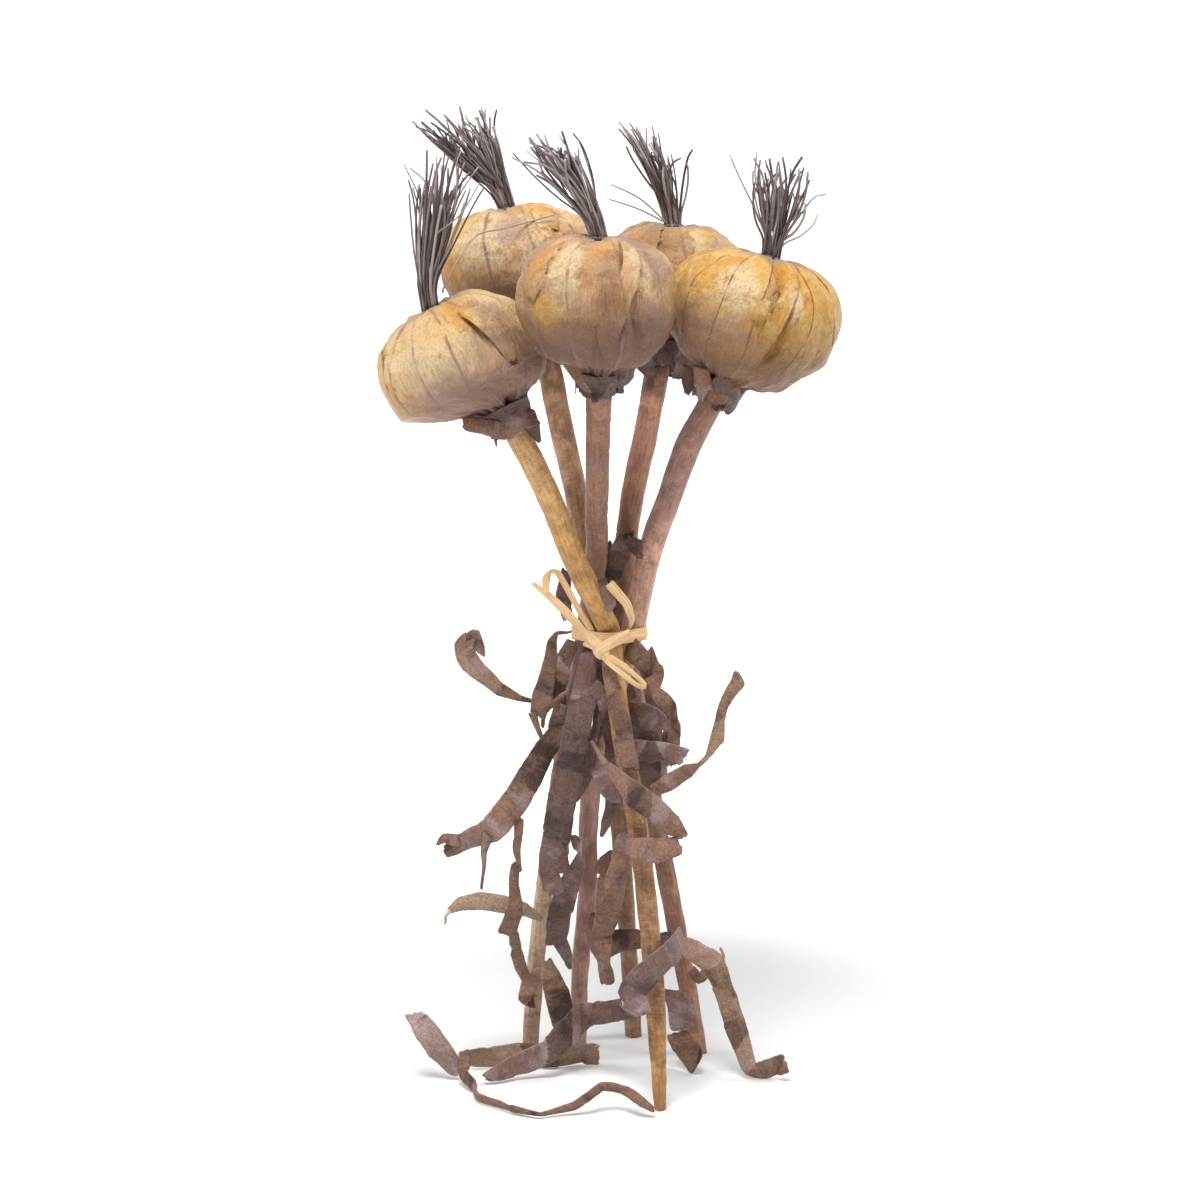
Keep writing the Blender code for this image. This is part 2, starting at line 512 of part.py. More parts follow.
def make_roots(name, head, groups, seed):
    """A tuft of wiry root fibres, fused to the short core that they grow from."""
    draw = random.Random(seed)
    base = neck_point(head, head[5] - ROOT_DIP + ROOT_LIFT)
    up = Vector(head[2]).normalized()
    fibres = []
    for way, count, length, spread in groups:
        for _ in range(count):
            aim = Vector(way).normalized()
            aim += Vector([draw.uniform(-spread, spread) for _ in range(3)])
            aim.normalize()
            reach = length * draw.uniform(0.8, 1.08)
            start = base + up * 0.004 + Vector([draw.uniform(-0.002, 0.002) for _ in range(3)])
            bend = Vector([draw.uniform(-0.0025, 0.0025) for _ in range(3)])
            middle = start + up * reach * 0.08 + aim * reach * 0.38 + bend
            route = (start, middle, start + up * reach * 0.05 + aim * reach * 0.95)
            places = [2 * k / (FIBRE_JOINTS - 1) for k in range(FIBRE_JOINTS)]
            points = [curve_point(route, place) for place in places]
            radii = [blend(FIBRE_RADIUS, FIBRE_RADIUS * 0.6, place / 2) for place in places]
            fibres.append(tube_mesh(name, points, radii, 0))
    core = bmesh.new()
    bmesh.ops.create_cone(core, cap_ends=True, segments=8, radius1=ROOT_CORE_RADIUS,
                          radius2=ROOT_CORE_RADIUS * 0.55, depth=ROOT_CORE_LENGTH)
    lean = (Vector(groups[0][0]).normalized() + up).normalized()
    turn = Vector((0, 0, 1)).rotation_difference(lean).to_matrix().to_4x4()
    shift = Matrix.Translation(base + lean * ROOT_CORE_LENGTH / 2)
    bmesh.ops.transform(core, matrix=shift @ turn, verts=core.verts)
    new_object(name, fused_mesh(name, core, fibres), ROOT_GREY)


def fused_mesh(name, core, pieces):
    """The Boolean union of a core and the pieces that grow from it."""
    group = bpy.data.collections.new(name + "_fibres")
    bpy.context.scene.collection.children.link(group)
    for number, form in enumerate(pieces):
        mesh = mesh_from_bmesh(f"{name}_fibre_{number}", form)
        group.objects.link(bpy.data.objects.new(mesh.name, mesh))
    holder = bpy.data.objects.new(name + "_core", mesh_from_bmesh(name + "_core", core))
    bundle.objects.link(holder)
    union = holder.modifiers.new("union", "BOOLEAN")
    union.operation = "UNION"
    union.operand_type = "COLLECTION"
    union.collection = group
    depsgraph = bpy.context.evaluated_depsgraph_get()
    mesh = bpy.data.meshes.new_from_object(holder.evaluated_get(depsgraph))
    for fibre in list(group.objects):
        bpy.data.objects.remove(fibre)
    bpy.data.collections.remove(group)
    bpy.data.objects.remove(holder)
    return mesh


def make_ribbon(name, colour, route, widths, seed, wave=LEAF_WAVE, thickness=LEAF_THICKNESS):
    """A thin wavy strip along a route, its broad face towards the viewer."""
    places = places_along(route, LEAF_STEP)
    across = 1 if max(widths) < NARROW_LEAF else 2
    form = bmesh.new()
    bmesh.ops.create_grid(form, x_segments=len(places) - 1, y_segments=across, size=0.5)
    phase = random.Random(seed).uniform(0, math.tau)
    frames = ribbon_frames(route, places)
    for vertex in form.verts:
        station = round((vertex.co.x + 0.5) * (len(places) - 1))
        centre, side, normal, run = frames[station]
        reach = vertex.co.y * value_at(widths, places[station])
        lift = wave * math.sin(run / LEAF_WAVE_PITCH * math.tau + phase)
        lift += LEAF_CAMBER * (1 - (2 * vertex.co.y) ** 2) if across == 2 else 0.0
        vertex.co = centre + side * reach + normal * lift
    bmesh.ops.triangulate(form, faces=form.faces)
    piece = new_object(name, mesh_from_bmesh(name, form), colour)
    shell = piece.modifiers.new("thickness", "SOLIDIFY")
    shell.thickness = thickness
    shell.offset = 0.0


def ribbon_frames(route, places):
    """Centre, side way, normal and run length at each place of a strip."""
    centres = [curve_point(route, place) for place in places]
    frames = []
    run = 0.0
    for station, centre in enumerate(centres):
        after = centres[min(station + 1, len(centres) - 1)]
        before = centres[max(station - 1, 0)]
        along = (after - before).normalized()
        side = along.cross(VIEW_SIDE).normalized()
        if station > 0:
            run += (centre - centres[station - 1]).length
        frames.append((centre, side, side.cross(along), run))
    return frames


def stalks_at(height):
    """Centre and radius of each stalk at a height near the tie."""
    circles = []
    for _, route, radii in STALKS.values():
        places = [place / 40 for place in range(40 * (len(route) - 1))]
        place = min(places, key=lambda place: abs(curve_point(route, place).z - height))
        circles.append((curve_point(route, place).xy, value_at(radii, place)))
    return circles


def make_tie_band():
    """The raffia wound round the stalks, pulled tight over the outermost ones."""
    form = bmesh.new()
    bmesh.ops.create_circle(form, segments=TIE_SIDES, radius=1.0)
    made = bmesh.ops.extrude_edge_only(form, edges=form.edges[:])
    top = [item for item in made["geom"] if isinstance(item, bmesh.types.BMVert)]
    bmesh.ops.translate(form, verts=top, vec=(0, 0, 1))
    for vertex in form.verts:
        outward = vertex.co.xy.normalized()
        height = TIE_HEIGHT + (vertex.co.z - 0.5) * TIE_WIDTH
        centre, radius = max(stalks_at(height), key=lambda circle: circle[0].dot(outward) + circle[1])
        vertex.co = (*(centre + outward * (radius + TIE_CLEARANCE)), height)
    bmesh.ops.recalc_face_normals(form, faces=form.faces)
    bmesh.ops.triangulate(form, faces=form.faces)
    piece = new_object("tie_band", mesh_from_bmesh("tie_band", form), RAFFIA)
    shell = piece.modifiers.new("thickness", "SOLIDIFY")
    shell.thickness = TIE_THICKNESS
    shell.offset = 1.0


def make_knot():
    """The small flat knot in front of the band."""
    form = bmesh.new()
    bmesh.ops.create_uvsphere(form, u_segments=12, v_segments=8, radius=1.0)
    bmesh.ops.scale(form, vec=KNOT_SIZE, verts=form.verts)
    bmesh.ops.translate(form, vec=KNOT_CENTRE, verts=form.verts)
    new_object("tie_knot", mesh_from_bmesh("tie_knot", form), RAFFIA)


for old in list(bpy.data.objects):
    bpy.data.objects.remove(old)
bundle = bpy.data.collections.new("bundle of dried garlic")
bpy.context.scene.collection.children.link(bundle)

for number, head in enumerate(HEADS, start=1):
    make_head(head, seed=number)
    make_stalk(f"stem_{number}", head)
for number, (name, groups) in enumerate(TUFTS, start=1):
    make_roots(name, HEADS[number - 1], groups, seed=20 + number)
for number, (name, colour, route, widths) in enumerate(LEAVES, start=1):
    make_ribbon(name, colour, route, widths, seed=40 + number)
make_tie_band()
make_knot()
for number, (name, route, widths) in enumerate(RAFFIA_PIECES, start=1):
    make_ribbon(name, RAFFIA, route, widths, seed=80 + number, wave=0.0003, thickness=0.0005)
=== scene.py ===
"""The looks of a bundle of dried garlic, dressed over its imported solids.

Five heads with their roots up, on long dry stalks that cross at a raffia tie and
stand on their cut ends, with dead leaves hanging in crinkled ribbons. Metres, +Z up.
"""
import math
import random

import bmesh
import bpy
from mathutils import Matrix, Vector, noise


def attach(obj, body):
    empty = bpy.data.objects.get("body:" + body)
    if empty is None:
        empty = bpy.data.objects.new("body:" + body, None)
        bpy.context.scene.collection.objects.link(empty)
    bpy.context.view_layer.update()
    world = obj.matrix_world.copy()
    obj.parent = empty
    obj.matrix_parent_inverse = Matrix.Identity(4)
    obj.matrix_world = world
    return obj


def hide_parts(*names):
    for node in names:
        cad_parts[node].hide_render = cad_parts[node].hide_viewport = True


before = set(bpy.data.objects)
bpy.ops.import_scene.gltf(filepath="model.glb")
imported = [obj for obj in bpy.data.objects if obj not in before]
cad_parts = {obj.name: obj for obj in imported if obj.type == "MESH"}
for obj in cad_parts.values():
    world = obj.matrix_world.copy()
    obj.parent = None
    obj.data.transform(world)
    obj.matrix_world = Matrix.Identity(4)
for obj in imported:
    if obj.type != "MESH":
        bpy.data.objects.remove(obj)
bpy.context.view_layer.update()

# Stalks. Each is the dried false stem of one plant: fibrous, ridged lengthwise, finely
# lined across, straw yellow where sound and mauve brown where it has dried dark. All
# five were cut off level and carry the whole bundle on their splayed ends.
BUNDLE_SHIFT = Vector((0.0001, -0.0037, 0.0))
VIEW_SIDE = Vector((0.0, -1.0, 0.0))
STALK_SIDES = 48
STALK_STEP = 0.0011
STALK_TOP_RADIUS = 0.0050
FLOOR_CUT = 0.004
RIDGE_DEPTH = 0.00022
FIBRE_DEPTH = 0.00010
KNOBBLE_DEPTH = 0.00030
CROSS_LINE_DEPTH = 0.00018
NECK_LEAD = 0.003


def blend(low, high, share):
    """The value a share of the way from low to high."""
    return low + (high - low) * share


def part_way(low, high, value):
    """0 below low, 1 above high, and even between them."""
    return max(0.0, min(1.0, (value - low) / (high - low)))


def soft_step(low, high, value):
    """0 below low, 1 above high, and smooth between them."""
    share = part_way(low, high, value)
    return share * share * (3 - 2 * share)


def curve_point(points, place):
    """A point on the smooth curve through the points, place in control points."""
    last = len(points) - 1
    start = max(0, min(int(place), last - 1))
    t = place - start
    p1, p2 = Vector(points[start]), Vector(points[start + 1])
    p0 = Vector(points[start - 1]) if start > 0 else 2 * p1 - p2
    p3 = Vector(points[start + 2]) if start + 2 <= last else 2 * p2 - p1
    return 0.5 * (2 * p1 + (p2 - p0) * t + (2 * p0 - 5 * p1 + 4 * p2 - p3) * t * t
                  + (3 * p1 - p0 - 3 * p2 + p3) * t * t * t)


def value_at(values, place):
    """A value between two of the values, place in control points."""
    start = max(0, min(int(place), len(values) - 2))
    return blend(values[start], values[start + 1], place - start)


def places_along(points, step):
    """Places on the smooth curve, about one step apart."""
    places = [0.0]
    for start in range(len(points) - 1):
        length = (Vector(points[start + 1]) - Vector(points[start])).length
        pieces = max(2, round(length / step))
        places += [start + (k + 1) / pieces for k in range(pieces)]
    return places


def strip_frames(points, places, sharpness=0.0):
    """Centre, way along, side way, normal and run length at each place of a route."""
    centres = []
    for place in places:
        start = min(int(place), len(points) - 2)
        straight = Vector(points[start]).lerp(Vector(points[start + 1]), place - start)
        centres.append(curve_point(points, place).lerp(straight, sharpness))
    frames = []
    run = 0.0
    for station, centre in enumerate(centres):
        after = centres[min(station + 1, len(centres) - 1)]
        before = centres[max(station - 1, 0)]
        along = (after - before).normalized()
        side = along.cross(VIEW_SIDE).normalized()
        if station > 0:
            run += (centre - centres[station - 1]).length
        frames.append((centre, along, side, side.cross(along), run))
    return frames


def finish_piece(name, form, finishes, nodes):
    """Shift a bmesh into the bundle's frame and show it in place of its plain solids."""
    bmesh.ops.translate(form, verts=form.verts, vec=BUNDLE_SHIFT)
    mesh = bpy.data.meshes.new(name)
    form.to_mesh(mesh)
    form.free()
    for finish in finishes:
        mesh.materials.append(finish)
    mesh.shade_smooth()
    piece = bpy.data.objects.new(name, mesh)
    bpy.context.scene.collection.objects.link(piece)
    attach(piece, "root")
    if nodes:
        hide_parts(*nodes)
    return piece


def add_node(tree, kind, values=None, **settings):
    """Add a shader node with its settings, and give each named socket a value or a link."""
    made = tree.nodes.new("ShaderNode" + kind)
    for setting, value in settings.items():
        setattr(made, setting, value)
    for socket, value in (values or {}).items():
        if isinstance(value, bpy.types.NodeSocket):
            tree.links.new(value, made.inputs[socket])
        else:
            made.inputs[socket].default_value = value
    return made


def calculate(tree, operation, first, second=0.0, third=0.0):
    """The output of a Math node."""
    made = add_node(tree, "Math", {0: first, 1: second, 2: third}, operation=operation)
    return made.outputs[0]


def read_value(tree, name):
    """A value that the mesh carries at each of its points."""
    return add_node(tree, "Attribute", attribute_name=name).outputs["Fac"]


def read_way(tree, name="way"):
    """The place round and along a piece that the mesh carries, in metres."""
    return add_node(tree, "Attribute", attribute_name=name).outputs["Vector"]


def soft_mask(tree, value, low, high):
    """A mask that goes from 0 to 1 as the value goes from low to high, either way round."""
    made = add_node(tree, "MapRange", {"Value": value, "From Min": low, "From Max": high},
                    interpolation_type="SMOOTHSTEP")
    return made.outputs["Result"]


def paint(tree, under, over, mask):
    """One colour over another, through a mask."""
    made = tree.nodes.new("ShaderNodeMix")
    made.data_type = "RGBA"
    for socket, value in ((0, mask), (6, under), (7, over)):
        if isinstance(value, bpy.types.NodeSocket):
            tree.links.new(value, made.inputs[socket])
        elif socket == 0:
            made.inputs[0].default_value = value
        else:
            made.inputs[socket].default_value = (*value, 1.0)
    return made.outputs[2]


def glaze(tree, under, over, mask, strength):
    """One colour thinly over another, through a mask and at a strength from 0 to 1."""
    return paint(tree, under, over, calculate(tree, "MULTIPLY", mask, strength))


def shade(tree, colour, amount):
    """A colour made darker or lighter by an amount that is 1 where it stays as it is."""
    made = tree.nodes.new("ShaderNodeVectorMath")
    made.operation = "SCALE"
    tree.links.new(colour, made.inputs[0])
    tree.links.new(amount, made.inputs["Scale"])
    return made.outputs[0]


def tone_band(tree, value, tones):
    """A colour read from a band of tones, each given with its place from 0 to 1."""
    made = add_node(tree, "ValToRGB", {"Fac": value})
    stops = made.color_ramp.elements
    while len(stops) < len(tones):
        stops.new(0.5)
    for stop, (place, colour) in zip(stops, tones):
        stop.position = place
        stop.color = (*colour, 1.0)
    return made.outputs["Color"]


def new_finish(name, roughness, specular=0.3, sheen=0.0, sheen_tint=(1.0, 1.0, 1.0)):
    """A material with a Principled shader, its tree, and its constant values set."""
    finish = bpy.data.materials.new(name)
    finish.use_nodes = True
    tree = finish.node_tree
    shader = tree.nodes["Principled BSDF"]
    shader.inputs["Roughness"].default_value = roughness
    shader.inputs["Specular IOR Level"].default_value = specular
    shader.inputs["Sheen Weight"].default_value = sheen
    shader.inputs["Sheen Tint"].default_value = (*sheen_tint, 1.0)
    return finish, tree, shader


def raise_bumps(tree, shader, height, distance, strength=1.0):
    """Fine relief that is too small for the mesh."""
    made = add_node(tree, "Bump", {"Height": height, "Distance": distance, "Strength": strength})
    tree.links.new(made.outputs["Normal"], shader.inputs["Normal"])


def make_dry_grain():
    """Streaks, blotches and fine grain that follow the way a dry plant has grown."""
    group = bpy.data.node_groups.new("dry_grain", "ShaderNodeTree")
    group.interface.new_socket("Way", in_out="INPUT", socket_type="NodeSocketVector")
    for name, usual in (("Streaks a metre", 1500.0), ("Stretch", 14.0), ("Blotches a metre", 110.0)):
        made = group.interface.new_socket(name, in_out="INPUT", socket_type="NodeSocketFloat")
        made.default_value = usual
    for name in ("Streaks", "Blotches", "Grain"):
        group.interface.new_socket(name, in_out="OUTPUT", socket_type="NodeSocketFloat")
    given = group.nodes.new("NodeGroupInput")
    result = group.nodes.new("NodeGroupOutput")
    along = calculate(group, "DIVIDE", given.outputs["Streaks a metre"], given.outputs["Stretch"])
    scale = add_node(group, "CombineXYZ", {"X": given.outputs["Streaks a metre"],
                                           "Y": given.outputs["Streaks a metre"], "Z": along})
    stretched = add_node(group, "VectorMath", {0: given.outputs["Way"], 1: scale.outputs[0]},
                         operation="MULTIPLY")
    streaks = add_node(group, "TexNoise", {"Vector": stretched.outputs[0], "Scale": 1.0, "Detail": 5.0,
                                           "Roughness": 0.65})
    blotches = add_node(group, "TexNoise", {"Vector": given.outputs["Way"],
                                            "Scale": given.outputs["Blotches a metre"], "Detail": 4.0,
                                            "Roughness": 0.6, "Distortion": 0.6})
    grain = add_node(group, "TexNoise", {"Vector": given.outputs["Way"], "Scale": 1150.0, "Detail": 4.0,
                                         "Roughness": 0.7})
    group.links.new(streaks.outputs["Fac"], result.inputs["Streaks"])
    group.links.new(blotches.outputs["Fac"], result.inputs["Blotches"])
    group.links.new(grain.outputs["Fac"], result.inputs["Grain"])
    return group


def grain_of(tree, way, streaks, stretch, blotches):
    """The dry grain group placed in a material with that piece's own values."""
    made = tree.nodes.new("ShaderNodeGroup")
    made.node_tree = dry_grain
    tree.links.new(way, made.inputs["Way"])
    made.inputs["Streaks a metre"].default_value = streaks
    made.inputs["Stretch"].default_value = stretch
    made.inputs["Blotches a metre"].default_value = blotches
    return made.outputs


def make_bark(name, tones, lines, patches, line_share=0.55):
    """Fibrous bark: tones down the stalk, short lines across it and dark dried patches."""
    finish, tree, shader = new_finish(name, 0.42, 0.30)
    way = read_way(tree)
    fibres = grain_of(tree, way, 1300.0, 9.0, 130.0)
    across = grain_of(tree, way, 240.0, 0.16, 170.0)
    wander = calculate(tree, "MULTIPLY_ADD", fibres["Blotches"], 0.16, -0.08)
    place = calculate(tree, "ADD", read_value(tree, "along"), wander)
    colour = tone_band(tree, place, tones)
    dark = soft_mask(tree, across["Blotches"], 0.48, 0.66)
    colour = glaze(tree, colour, patches, dark, 0.55)
    # Painted glints: pale patches glazed over the bark at random.
    glint = soft_mask(tree, across["Blotches"], 0.50, 0.34)
    colour = glaze(tree, colour, PALE_PATCH, glint, 0.20)
    line = soft_mask(tree, across["Streaks"], 0.53, 0.61)
    colour = glaze(tree, colour, lines, line, line_share)
    light = calculate(tree, "MULTIPLY_ADD", soft_mask(tree, fibres["Streaks"], 0.34, 0.66), 0.34, 0.60)
    patchy = soft_mask(tree, fibres["Blotches"], 0.36, 0.64)
    light = calculate(tree, "MULTIPLY_ADD", patchy, 0.30, light)
    grain = soft_mask(tree, fibres["Grain"], 0.32, 0.68)
    light = calculate(tree, "MULTIPLY_ADD", grain, 0.22, light)
    colour = shade(tree, colour, light)
    tree.links.new(colour, shader.inputs["Base Color"])
    relief = calculate(tree, "MULTIPLY_ADD", across["Streaks"], 0.5, fibres["Streaks"])
    raise_bumps(tree, shader, relief, 0.00080, 0.9)
    return finish


dry_grain = make_dry_grain()

# Tones are given from the head, at 0, down to the cut end, at 1. The near black at the tops of stem_2 and
# stem_4 is painted shade under their heads.
STRAW = (0.56, 0.30, 0.110)
PALE_STRAW = (0.70, 0.45, 0.22)
AMBER = (0.55, 0.24, 0.045)
BROWN_BARK = (0.25, 0.132, 0.072)
RED_BARK = (0.37, 0.175, 0.112)
DARK_BARK_AND_SHADE = (0.10, 0.052, 0.034)
MAUVE_BARK = (0.31, 0.170, 0.145)
PINK_BARK = (0.46, 0.275, 0.215)
TAN_BARK = (0.45, 0.260, 0.155)
OLIVE_BARK = (0.37, 0.22, 0.11)
ORANGE_BARK = (0.62, 0.360, 0.26)
WARM_BARK = (0.56, 0.330, 0.22)
PALE_PATCH = (0.60, 0.42, 0.29)

BARKS = {
    "stem_1": make_bark(
        "bark_straw",
        ((0.00, PALE_STRAW), (0.22, STRAW), (0.40, STRAW), (0.52, BROWN_BARK), (0.86, BROWN_BARK),
         (0.93, STRAW), (1.00, BROWN_BARK)),
        AMBER, BROWN_BARK, 0.75),
    "stem_2": make_bark(
        "bark_olive",
        ((0.00, DARK_BARK_AND_SHADE), (0.08, BROWN_BARK), (0.16, TAN_BARK), (0.45, OLIVE_BARK),
         (0.60, BROWN_BARK), (1.00, TAN_BARK)),
        BROWN_BARK, BROWN_BARK),
    "stem_3": make_bark(
        "bark_brown",
        ((0.00, RED_BARK), (0.25, BROWN_BARK), (0.40, MAUVE_BARK), (0.60, BROWN_BARK),
         (0.72, PALE_PATCH), (0.90, PALE_PATCH), (1.00, PINK_BARK)),
        DARK_BARK_AND_SHADE, MAUVE_BARK, 0.35),
    "stem_4": make_bark(
        "bark_red",
        ((0.00, DARK_BARK_AND_SHADE), (0.12, RED_BARK), (0.34, BROWN_BARK), (0.46, MAUVE_BARK),
         (0.70, BROWN_BARK), (0.86, RED_BARK), (1.00, TAN_BARK)),
        RED_BARK, MAUVE_BARK, 0.45),
    "stem_5": make_bark(
        "bark_mauve",
        ((0.00, BROWN_BARK), (0.14, MAUVE_BARK), (0.28, ORANGE_BARK), (0.40, WARM_BARK),
         (0.55, PINK_BARK), (0.72, MAUVE_BARK), (0.88, PINK_BARK), (1.00, PINK_BARK)),
        RED_BARK, MAUVE_BARK, 0.40),
}

# Route of each stalk below its head, with its radius at each point
STALKS = {
    "stem_1": (
        ((-0.0235, -0.0185, 0.244), (-0.0140, -0.0190, 0.220), (-0.0040, -0.0150, 0.199),
         (0.0005, -0.0105, 0.187), (0.0030, -0.0140, 0.164), (0.0080, -0.0210, 0.133),
         (0.0130, -0.0270, 0.102), (0.0165, -0.0350, 0.070), (0.0190, -0.0410, 0.037),
         (0.0205, -0.0460, 0.000)),
        (0.0048, 0.0047, 0.0045, 0.0044, 0.0043, 0.0042, 0.0042, 0.0041, 0.0040, 0.0022)),
    "stem_2": (
        ((-0.0200, 0.0270, 0.270), (-0.0135, 0.0200, 0.241), (-0.0100, 0.0150, 0.220),
         (-0.0045, 0.0090, 0.187), (-0.0010, 0.0150, 0.160), (0.0030, 0.0240, 0.120),
         (0.0075, 0.0360, 0.060), (0.0110, 0.0470, 0.000)),
        (0.0050, 0.0047, 0.0045, 0.0044, 0.0042, 0.0040, 0.0038, 0.0036)),
    "stem_3": (
        ((-0.0045, -0.0250, 0.262), (-0.0050, -0.0140, 0.238), (-0.0050, -0.0060, 0.219),
         (-0.0090, -0.0010, 0.187), (-0.0135, 0.0020, 0.160), (-0.0190, 0.0040, 0.130),
         (-0.0265, 0.0110, 0.078), (-0.0310, 0.0180, 0.036), (-0.0335, 0.0235, 0.000)),
        (0.0047, 0.0046, 0.0046, 0.0044, 0.0042, 0.0040, 0.0038, 0.0036, 0.0035)),
    "stem_4": (
        ((0.0150, 0.0310, 0.263), (0.0100, 0.0220, 0.241), (0.0070, 0.0160, 0.218),
         (0.0055, 0.0090, 0.187), (0.0120, 0.0120, 0.150), (0.0195, 0.0160, 0.105),
         (0.0270, 0.0200, 0.065), (0.0330, 0.0230, 0.032), (0.0385, 0.0250, 0.000)),
        (0.0049, 0.0047, 0.0045, 0.0044, 0.0042, 0.0041, 0.0040, 0.0038, 0.0036)),
    "stem_5": (
        ((0.0310, -0.0100, 0.263), (0.0235, -0.0060, 0.241), (0.0165, -0.0035, 0.220),
         (0.0095, -0.0015, 0.187), (0.0020, 0.0020, 0.160), (-0.0060, 0.0080, 0.133),
         (-0.0085, 0.0170, 0.100), (-0.0090, 0.0240, 0.070), (-0.0120, 0.0310, 0.035),
         (-0.0130, 0.0340, 0.000)),
        (0.0052, 0.0050, 0.0048, 0.0045, 0.0043, 0.0041, 0.0040, 0.0039, 0.0037, 0.0035)),
}

# Middle of each head's neck, where its stalk comes out
NECKS = {
    "stem_1": (-0.0370, -0.0150, 0.271),
    "stem_2": (-0.0260, 0.0320, 0.299),
    "stem_3": (-0.0040, -0.0350, 0.289),
    "stem_4": (0.0200, 0.0410, 0.290),
    "stem_5": (0.0405, -0.0130, 0.282),
}
STALK_IN_NECK = 0.0094


def tube_round(form, rings, sides):
    """A closed tube's points as (ring, angle, point), from a sphere whose rings it uses."""
    made = bmesh.ops.create_uvsphere(form, u_segments=sides, v_segments=rings, radius=1.0)
    placed = []
    for vertex in made["verts"]:
        ring = round(math.acos(max(-1.0, min(1.0, vertex.co.z))) / math.pi * rings)
        placed.append((ring, math.atan2(vertex.co.y, vertex.co.x), vertex))
    return placed


def make_stalk(name, seed):
    """A ridged, fibrous stalk, from inside its head's neck down to its flat cut end."""
    route, radii = STALKS[name]
    neck = Vector(NECKS[name])
    up = (neck - Vector(route[0])).normalized()
    route = (tuple(neck + up * STALK_IN_NECK), tuple(neck - up * NECK_LEAD)) + route
    radii = (STALK_TOP_RADIUS, STALK_TOP_RADIUS) + radii
    past_floor = (Vector(route[-1]) - Vector(route[-2])).normalized() * FLOOR_CUT
    route = route + (tuple(Vector(route[-1]) + past_floor),)
    radii = radii + (radii[-1],)
    places = places_along(route, STALK_STEP)
    frames = strip_frames(route, places)
    whole = frames[-1][4]
    form = bmesh.new()
    way = form.verts.layers.float_vector.new("way")
    share = form.verts.layers.float.new("along")
    for ring, angle, vertex in tube_round(form, len(places) + 1, STALK_SIDES):
        station = max(0, min(ring - 1, len(places) - 1))
        centre, _, side, normal, run = frames[station]
        if ring in (0, len(places) + 1):
            vertex.co = centre
            continue
        radius = value_at(radii, places[station])
        around = Vector((math.cos(angle), math.sin(angle), 0.0))
        seen = around + Vector((seed * 3.1, 0.0, 0.0))
        relief = RIDGE_DEPTH * noise.noise(Vector((seen.x * 2.6, seen.y * 2.6, run * 30)))
        relief += FIBRE_DEPTH * noise.noise(Vector((seen.x * 9.0, seen.y * 9.0, run * 90)))
        relief += KNOBBLE_DEPTH * noise.noise(Vector((seen.x, seen.y, run * 110)))
        cross_line = noise.noise(Vector((seen.x * 1.5, seed, run * 420)))
        relief -= CROSS_LINE_DEPTH * soft_step(0.35, 0.6, cross_line)
        radius += relief
        vertex.co = centre + (side * around.x + normal * around.y) * radius
        vertex[way] = (around.x * radius, around.y * radius, run + seed)
        vertex[share] = run / whole
    bisected = form.verts[:] + form.edges[:] + form.faces[:]
    bmesh.ops.bisect_plane(form, geom=bisected, plane_co=(0, 0, 0), plane_no=(0, 0, 1),
                           clear_inner=True)
    bmesh.ops.holes_fill(form, edges=[edge for edge in form.edges if edge.is_boundary])
    bmesh.ops.recalc_face_normals(form, faces=form.faces)
    finish_piece(name.replace("stem", "stalk"), form, [BARKS[name]], [name])


for number in range(1, 6):
    make_stalk(f"stem_{number}", seed=number)

# Heads. Each garlic head is a flattened ring of cloves in several dry papery skins,
# cream to gold, with mauve veins from the roots to the neck, amber stains, torn
# layers and sunken creases between the cloves. The skin gathers into a dark neck.
# The lower side's mauve brown and the neck's near black are partly the skin's own
# colour and partly painted shade; the dark in the valleys of the neck's pleats is
# painted shade.
HEAD_SIDES = 240
HEAD_RINGS = 136
INNER_RINGS = 10
BODY_SHARE = 0.74
BODY_SWEEP = math.radians(152)
BODY_SQUARENESS = 0.86
ROOT_DIP = 0.003
ROOT_DIP_SPREAD = 0.009
FUNNEL_LENGTH = 0.013
NECK_BEND = 0.4
SOCKET_DEPTH = 0.010
SOCKET_RADIUS = 0.0060
HEM_RADIUS = 0.0072
HEM_WALL = 0.0007
LOBE_DEPTH = 0.045
FLAP_REACH = 0.0035
FLAP_SPREAD = 0.45
FLAPS_A_HEAD = 3
SKIN_LENGTH = 0.110
LIP_HEIGHT = 0.0010
LIP_REACH = 0.0045
TEAR_FADE = 0.003
TEAR_FULL = 0.009
TEAR_DROP = 0.0005
TEAR_RAG = 0.0022
FINE_TEAR_RAG = 0.0010
GATHER_DEPTH = 0.0011
CROWN_DEPTH = 0.0008
NECK_PLEAT_DEPTH = 0.0022
DENT_DEPTH = 0.0017
WRINKLE_DEPTH = 0.00060
SKIN_GRAIN_DEPTH = 0.00020
VEIN_HEIGHT = 0.00018
VEIN_HALF_WIDTH = 0.0006
HEM_START = 0.93
HEM_WAVE = 0.0026
FAR_FROM_TEAR = -0.02

# centre, way from stalk to roots, end of the neck, radius, half height
HEADS = {
    1: ((-0.060, -0.012, 0.298), (-0.46, 0.00, 0.89), (-0.0370, -0.0150, 0.271), 0.0322, 0.0245),
    2: ((-0.038, 0.037, 0.334), (-0.16, 0.08, 0.98), (-0.0260, 0.0320, 0.299), 0.0315, 0.0240),
    3: ((-0.0045, -0.038, 0.3255), (0.02, 0.00, 1.00), (-0.0040, -0.0350, 0.289), 0.0312, 0.0240),
    4: ((0.026, 0.047, 0.3265), (0.04, 0.05, 1.00), (0.0200, 0.0410, 0.290), 0.0305, 0.0240),
    5: ((0.0570, -0.013, 0.3165), (0.28, 0.00, 0.96), (0.0405, -0.0130, 0.282), 0.0335, 0.0250),
}
